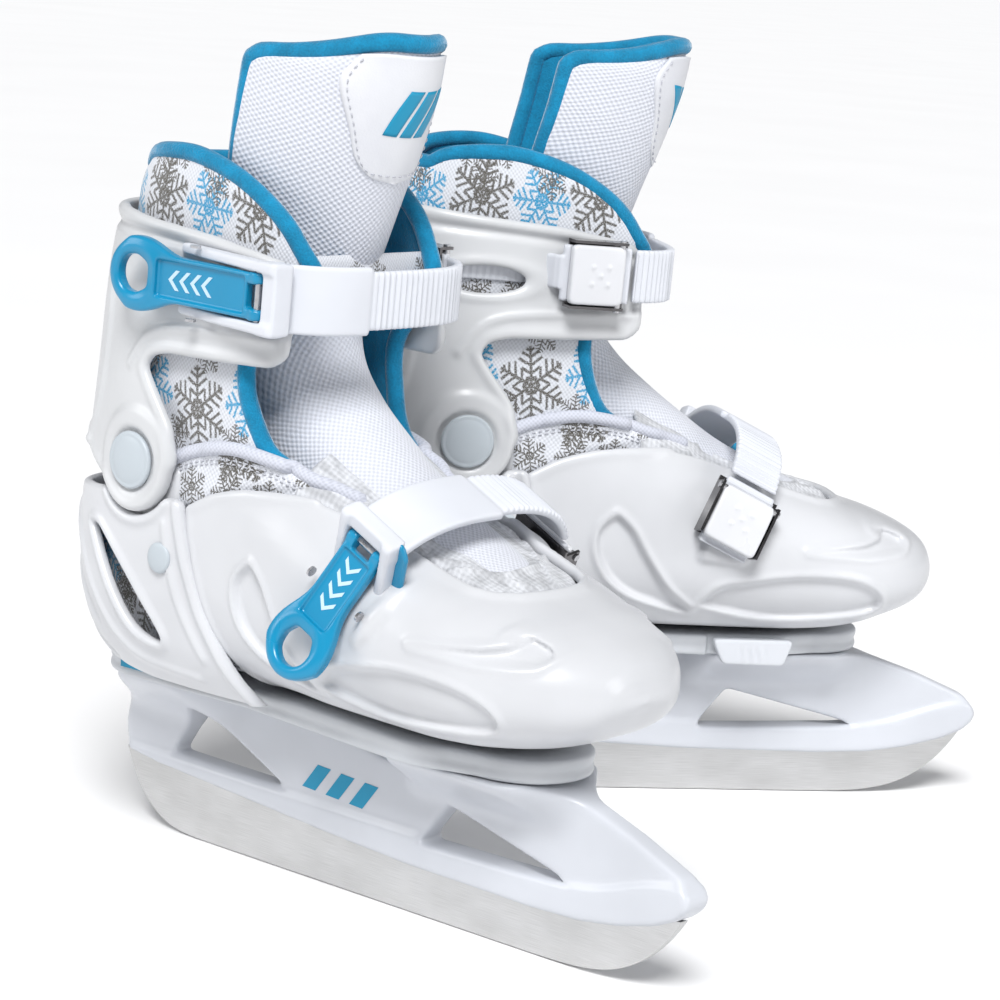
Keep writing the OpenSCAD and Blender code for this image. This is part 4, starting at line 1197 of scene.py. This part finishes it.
def quarters():
    """Printed quarter panels above the toe shell, with a white binding and two rows of stitching."""
    top = fine(QUARTER_TOP, 8)
    parts, binding, rows_of_thread, uv = [], [], [], []
    for hand in (-1, 1):
        grid = np.zeros((len(top), 22, 3))
        for i, (x, z) in enumerate(top):
            for k in range(22):
                zz = z - 26 * k / 21
                shell = np.interp(x, [64, 80, 101, 126, 145], [118, 124, 133, 137, 143])
                y = foot_side(x, zz, 1.2 + 2.6 * float(ramp(shell - zz, -3.0, 1.5)))
                over = leg_side(x, zz, 6.6 - 2.2 * float(ramp(x, 80, 88)), 1)[1] if x < 117 else 0.0
                y += max(0.0, over - y) * float(ramp(zz - shell, -4, 0))
                grid[i, k] = (x, hand * y, zz)
        normal = grid_normals(grid, (0, hand, 0))
        p, f = slab(grid, normal, 1.5)
        parts.append((p, facing(p, f, (100, 0, 120))))
        flat = grid[..., [0, 2]].reshape(-1, 2)
        uv += [flat + (40, 7), flat + (40, 7)]
        edge = grid[:, 0] + normal[:, 0] * -0.3
        b, bf = sweep(even(edge, 1.5), 2.3, 12)
        binding.append((b, bf))
        for row in (3, 4):
            line_up = grid[:, row] + normal[:, row] * 0.15
            rows_of_thread.append(stitches(line_up, (0, hand * 0.8, 0.5), 2.3, 1.4, 0.26))
    points, faces = together(parts)
    soft(0.5, "quarters", points, faces, "base", LINER_CLOTH, "printed_fabric", uv=np.vstack(uv))
    points, faces = together(binding)
    soft(0.5, "quarter_binding", points, faces, "base", BINDING, "printed_fabric", uv=points[:, [0, 2]])
    points, faces = together(rows_of_thread)
    add("quarter_stitching", points, faces, "base", THREAD, "printed_fabric", uv=points[:, [0, 2]])


TONGUE_LINE = [(137, 277), (134.5, 262), (129, 244), (122.5, 226), (116, 207), (109.5, 190), (110, 176),
               (118, 164.5), (130, 154), (144, 143.5), (158, 134), (174, 126), (190, 119)]


class Tongue:
    """The tongue's outer surface, by distance down its middle line and angle across it."""

    def __init__(self):
        self.line = even([(x, 0, z) for x, z in fine(TONGUE_LINE, 12)], 1.0)
        self.s = lengths(self.line)
        self.length = self.s[-1]
        x, z = self.line[:, 0], self.line[:, 2]
        self.wide = np.where(x < 136, np.interp(z, [165, 185, 205, 235, 277], [22, 22, 24.5, 30, 31]),
                             np.interp(x, [136, 150, 170, 190], [21.5, 20.5, 16, 11]))
        self.deep = np.where(x < 136, np.interp(z, [150, 170, 190, 210, 277], [20, 27, 34, 42, 50]),
                             np.interp(x, [136, 150, 170, 190], [22, 15, 6, 3.5]))
        self.wide, self.deep = (smoothed(v, 6.0) for v in (self.wide, self.deep))

    def drop(self, angle):
        """How far down the line the top edge is, at an angle: its corners are rounded."""
        t = min(1.0, max(0.0, (abs(angle) - math.radians(22)) / math.radians(70.5)))
        return 27 * (1 - math.sqrt(1 - t ** 2.2))

    def point(self, s, angle, lift=0.0):
        at = np.array([np.interp(s, self.s, self.line[:, k]) for k in range(3)])
        after, before = (np.array([np.interp(t, self.s, self.line[:, k]) for k in range(3)])
                         for t in (s + 1.5, s - 1.5))
        ahead = after - before
        ahead /= np.linalg.norm(ahead)
        front = np.array((-ahead[2], 0, ahead[0]))
        w, a = np.interp(s, self.s, self.wide) + lift, np.interp(s, self.s, self.deep)
        return at + front * ((a + lift) * math.cos(angle) - a) + np.array((0, w * math.sin(angle), 0))


def tongue():
    t = Tongue()
    rows, columns = 150, 61
    outer, inner = np.zeros((rows, columns, 3)), np.zeros((rows, columns, 3))
    uv = np.zeros((rows, columns, 2))
    limit = math.radians(92)
    for k, angle in enumerate(np.linspace(-limit, limit, columns)):
        top = float(t.drop(angle))
        for i in range(rows):
            s = top + (t.length - top) * i / (rows - 1)
            edge = min(1.0, (i + 0.5) / 7.0)
            thin = float(np.interp(s, [0, 90, 150, 185], [1, 1, 0.7, 0.3]))
            pad = 8.5 * (1 - 0.45 * (abs(angle) / limit) ** 4) * thin
            crown = 0.9 * math.sin(math.pi * min(1.0, i / 26.0) / 2) - 0.9
            roll = 1 - math.sqrt(1 - (1 - edge) ** 2)
            outer[i, k] = t.point(s, angle, crown - pad * 0.45 * roll)
            inner[i, k] = t.point(s, angle, -pad + pad * 0.45 * roll)
            uv[i, k] = (np.interp(s, t.s, t.wide) * angle, s)
    ring = np.concatenate([outer, inner[:, ::-1]], axis=1)
    ring_uv = np.concatenate([uv, uv[:, ::-1]], axis=1)
    n = 2 * columns
    faces = grid_faces(rows, n, closed=True)
    for base in (0, (rows - 1) * n):
        cap = [(base + k, base + k + 1, base + n - 2 - k, base + n - 1 - k) for k in range(columns - 1)]
        faces += cap if base else [q[::-1] for q in cap]
    points = ring.reshape(-1, 3)
    lining = np.zeros(len(faces), bool)
    column = np.arange((rows - 1) * n) % n
    lining[:len(column)] = (column >= columns) & (column < n - 1)
    blend = ("base", "cuff", (125, 0, 150), (122, 0, 185))
    faces = facing(points, faces, (100, 0, 215))
    soft(0.85, "tongue", points, faces, None, TONGUE_CLOTH, "tongue_fabric", ["tongue"],
         uv=ring_uv.reshape(-1, 2), second=(PILE, lining), blend=blend)
    # piping along both sides and over the top
    side = limit * 0.99
    route = [t.point(s, -side, -3.0) for s in np.arange(t.length * 0.62, float(t.drop(side)), -2.0)]
    route += [t.point(float(t.drop(a)) + 0.3, a, -3.0) for a in np.linspace(-side, side, 60)]
    route += [t.point(s, side, -3.0) for s in np.arange(float(t.drop(side)) + 2, t.length * 0.62, 2.0)]
    tube, tube_faces = sweep(even(route, 1.5), 3.1, 12)
    soft(0.9, "tongue_piping", tube, tube_faces, None, PILE, "tongue_fabric", blend=blend)
    tongue_patch(t)


def tongue_patch(t):
    """Coated patch with a curved lower edge, its stitching and three printed bars."""
    rows, columns, first, last = 40, 41, 3.6, 46.0

    def at(v, u, lift):
        s = first + (last - first) * v
        half = (26.5 - 10 * ramp(v, 0.1, 0.95)) * (1 - max(0.0, (v - 0.72) / 0.28) ** 2.6) ** 0.42 + 0.02
        angle = u * half / 31
        s = s + 0.9 * float(t.drop(angle))
        return t.point(s, angle, lift)

    grid = np.array([[at(i / (rows - 1), 2 * k / (columns - 1) - 1, 0.5) for k in range(columns)]
                     for i in range(rows)])
    normal = grid_normals(grid, (1, 0, 0))
    normal[-1] = normal[-2]
    points, faces = slab(grid, normal, 1.3)
    soft(0.3, "tongue_patch", points, facing(points, faces, (90, 0, 258)), "cuff", PATCH, "tongue_fabric")
    seam = [at(v, -0.93, 0.55) for v in np.linspace(0.03, 0.93, 30)]
    seam += [at(0.935, u, 0.55) for u in np.linspace(-0.9, 0.9, 20)]
    seam += [at(v, 0.93, 0.55) for v in np.linspace(0.93, 0.03, 30)]
    points, faces = stitches(seam, (0.9, 0, 0.1), 2.6, 1.6, 0.28)
    add("tongue_stitching", points, faces, "cuff", THREAD, "tongue_fabric", uv=points[:, [1, 2]])
    parts = []
    for k in range(3):
        cells = np.array([[at(0.26 + 0.36 * v, -0.52 + 0.30 * k + 0.24 * u + 0.34 * (1 - v), 0.66)
                           for u in np.linspace(0, 1, 7)] for v in np.linspace(0, 1, 13)])
        p, f = slab(cells, grid_normals(cells, (1, 0, 0)), 0.14)
        parts.append((p, facing(p, f, (90, 0, 258))))
    points, faces = together(parts)
    add("tongue_bars", points, faces, "cuff", PRINT_BLUE, "tongue_fabric")


def instep():
    """Creased mesh vamp in the toe shell's opening, with stitched overlays."""
    edge = curve([(x, y) for x, y in TOE_OPENING[:-1]] + [(202, 2.0), (224, 1.0)])
    rows, columns = 120, 81
    grid = np.zeros((rows, columns, 3))
    random = np.random.default_rng(7)
    waves = [[random.uniform(low, high) for low, high in ((0.05, 0.32), (-0.3, 0.3), (0, 6.3), (0.1, 0.35))]
             for _ in range(14)]
    for i in range(rows):
        x = 122 + 92 * i / (rows - 1)
        open_half = float(edge(x))
        half = min(float(edge(max(x - 13, 110))) + 3.5, float(foot_half(x)) - 6)
        for k in range(columns):
            y = (2 * k / (columns - 1) - 1) * half
            depth = 1.6 + 2.4 * float(ramp(abs(y), open_half - 3.5, open_half + 0.4))
            if x > 194:
                depth = max(depth, 1.6 + 2.4 * float(ramp(x, 197.5, 201.5)))
            folds = sum(a * math.sin(x * p + y * q + r) for p, q, r, a in waves)
            seam = min(abs(abs(y) - (24 - 0.62 * abs(x - 168))), abs(x - 150 + 0.012 * y * y),
                       abs(x - 189 + 0.02 * y * y))
            lift = 0.55 * folds + 1.2 * math.exp(-(seam / 1.2) ** 2)
            wide = float(FOOT_WIDE(x))
            share = max(0.0, 1 - (abs(y) / float(foot_half(x))) ** 2.5)
            z = wide + (float(FOOT_CROWN(x)) - wide) * share ** 0.4
            show = 1 - float(ramp(abs(y), open_half - 2.5, open_half + 0.5))
            grid[i, k] = (x, y, z - depth + lift * show)
    points, faces = slab(grid, grid_normals(grid, (0, 0, 1)), 1.8)
    flat = grid[..., :2].reshape(-1, 2)
    soft(0.5, "instep", points, facing(points, faces, (170, 0, 80)), "base", MESH_CLOTH, "vamp_fabric",
         ["instep"], uv=np.vstack([flat, flat]))


# ---------------------------------------------------------------- the pair

def finish_cad_nodes():
    """Procedural materials for the CAD nodes that stay as they are."""
    kept = [("sole_bolts", HARDWARE), ("insole", FELT)]
    for level in ("upper", "lower"):
        kept += [(f"{level}_catch", BLUE), (f"{level}_lever_pin", HARDWARE),
                 (f"{level}_ratchet_pin", HARDWARE), (f"{level}_ratchet_frame", DARK_CHROME)]
    for skate in SKATES:
        for node, material in kept:
            for slot in frame["nodes"][f"{skate.side}_{node}"].material_slots:
                slot.material = material


holder()
blade()
sole_plate()
size_button()
toe_shell()
heel_shell()
cuff()
rivets()
strap("upper_strap", UPPER_PATH, UPPER, (47, -45.5), -5, 50, 47, 38, 9, -14, 5.5)
strap("lower_strap", LOWER_PATH, LOWER, (33, -42), -17.7, 36, 31.5, 25, 8, 2, 4.4)
ladder("upper_ladder", UPPER_PATH, UPPER, 45.6, 20, "cuff",
       [(22, 45.4), (22, 47.5), (19, 47.6), (13, 38), (-14, 38), (-14, 36.8), (14, 36.8)])
ladder("lower_ladder", LOWER_PATH, LOWER, 30, 5, "toe")
lever("upper_lever", UPPER_LEVER, 61, "upper_lever")
lever("lower_lever", LOWER_LEVER, 49, "lower_lever")
ratchet_cap("upper_ratchet_cap", UPPER_RATCHET, "upper_cap")
ratchet_cap("lower_ratchet_cap", LOWER_RATCHET, "lower_cap")
lower_base()
holder_bars()
liner()
quarters()
tongue()
instep()
heel_badge()
finish_cad_nodes()


# ---------------------------------------------------------------- floor, lights and camera

def floor():
    mesh = bpy.data.meshes.new("floor")
    corners = [(30 * x, 30 * y, -0.0003) for x, y in ((-1, -1), (1, -1), (1, 1), (-1, 1))]
    mesh.from_pydata(corners, [], [(0, 1, 2, 3)])
    n, shader, material = surface("pale_floor", Roughness=0.9)
    tone = n.noise(n.position(), 3.0)
    n.feed(shader, Base_Color=n.tones(tone, 0.3, 0.7, (0.90, 0.90, 0.905), (0.92, 0.92, 0.925)))
    mesh.materials.append(material)
    plane = bpy.data.objects.new("floor", mesh)
    bpy.context.scene.collection.objects.link(plane)


def lamp(data, way, at=(0, 0, 0)):
    """Puts a lamp in the scene, shining along way."""
    placed_lamp = bpy.data.objects.new(data.name, data)
    placed_lamp.location = at
    placed_lamp.rotation_euler = Vector(way).to_track_quat("-Z", "Y").to_euler()
    bpy.context.scene.collection.objects.link(placed_lamp)


def studio():
    floor()
    world = bpy.data.worlds.new("studio")
    world.use_nodes = True
    sky = world.node_tree.nodes["Background"].inputs
    sky["Color"].default_value, sky["Strength"].default_value = (0.97, 0.98, 1, 1), 0.30
    bpy.context.scene.world = world
    bpy.context.scene.view_settings.view_transform = "Standard"
    sun = bpy.data.lights.new("wide_key", "SUN")
    sun.energy, sun.angle = 3.4, math.radians(24)
    lamp(sun, (-0.40, 0.52, -0.76))
    middle = Vector((0.0, 0.1, 0.1))
    for name, at in (("left_side", (-0.9, -0.9, 0.6)), ("right_side", (1.2, 0.5, 0.5))):
        side = bpy.data.lights.new(name, "AREA")
        side.shape, side.size, side.energy = "SQUARE", 0.5, 3.0
        lamp(side, middle - Vector(at), at)


def camera():
    yaw, pitch, roll = (math.radians(a) for a in (-40.61, 10.27, 3.78))
    ahead = Vector((math.sin(yaw) * math.cos(pitch), math.cos(yaw) * math.cos(pitch), -math.sin(pitch)))
    right = Vector((math.cos(yaw), -math.sin(yaw), 0))
    up = right.cross(ahead)
    across = right * math.cos(roll) + up * math.sin(roll)
    upright = up * math.cos(roll) - right * math.sin(roll)
    data = bpy.data.cameras.new("camera")
    data.sensor_width, data.lens, data.clip_end = 36, 112, 80
    seen = bpy.data.objects.new("camera", data)
    turn = Matrix((across, upright, -ahead)).transposed().to_4x4()
    seen.matrix_world = Matrix.Translation((0.6713, -0.7223, 0.3123)) @ turn
    bpy.context.scene.collection.objects.link(seen)
    bpy.context.scene.camera = seen


studio()
camera()
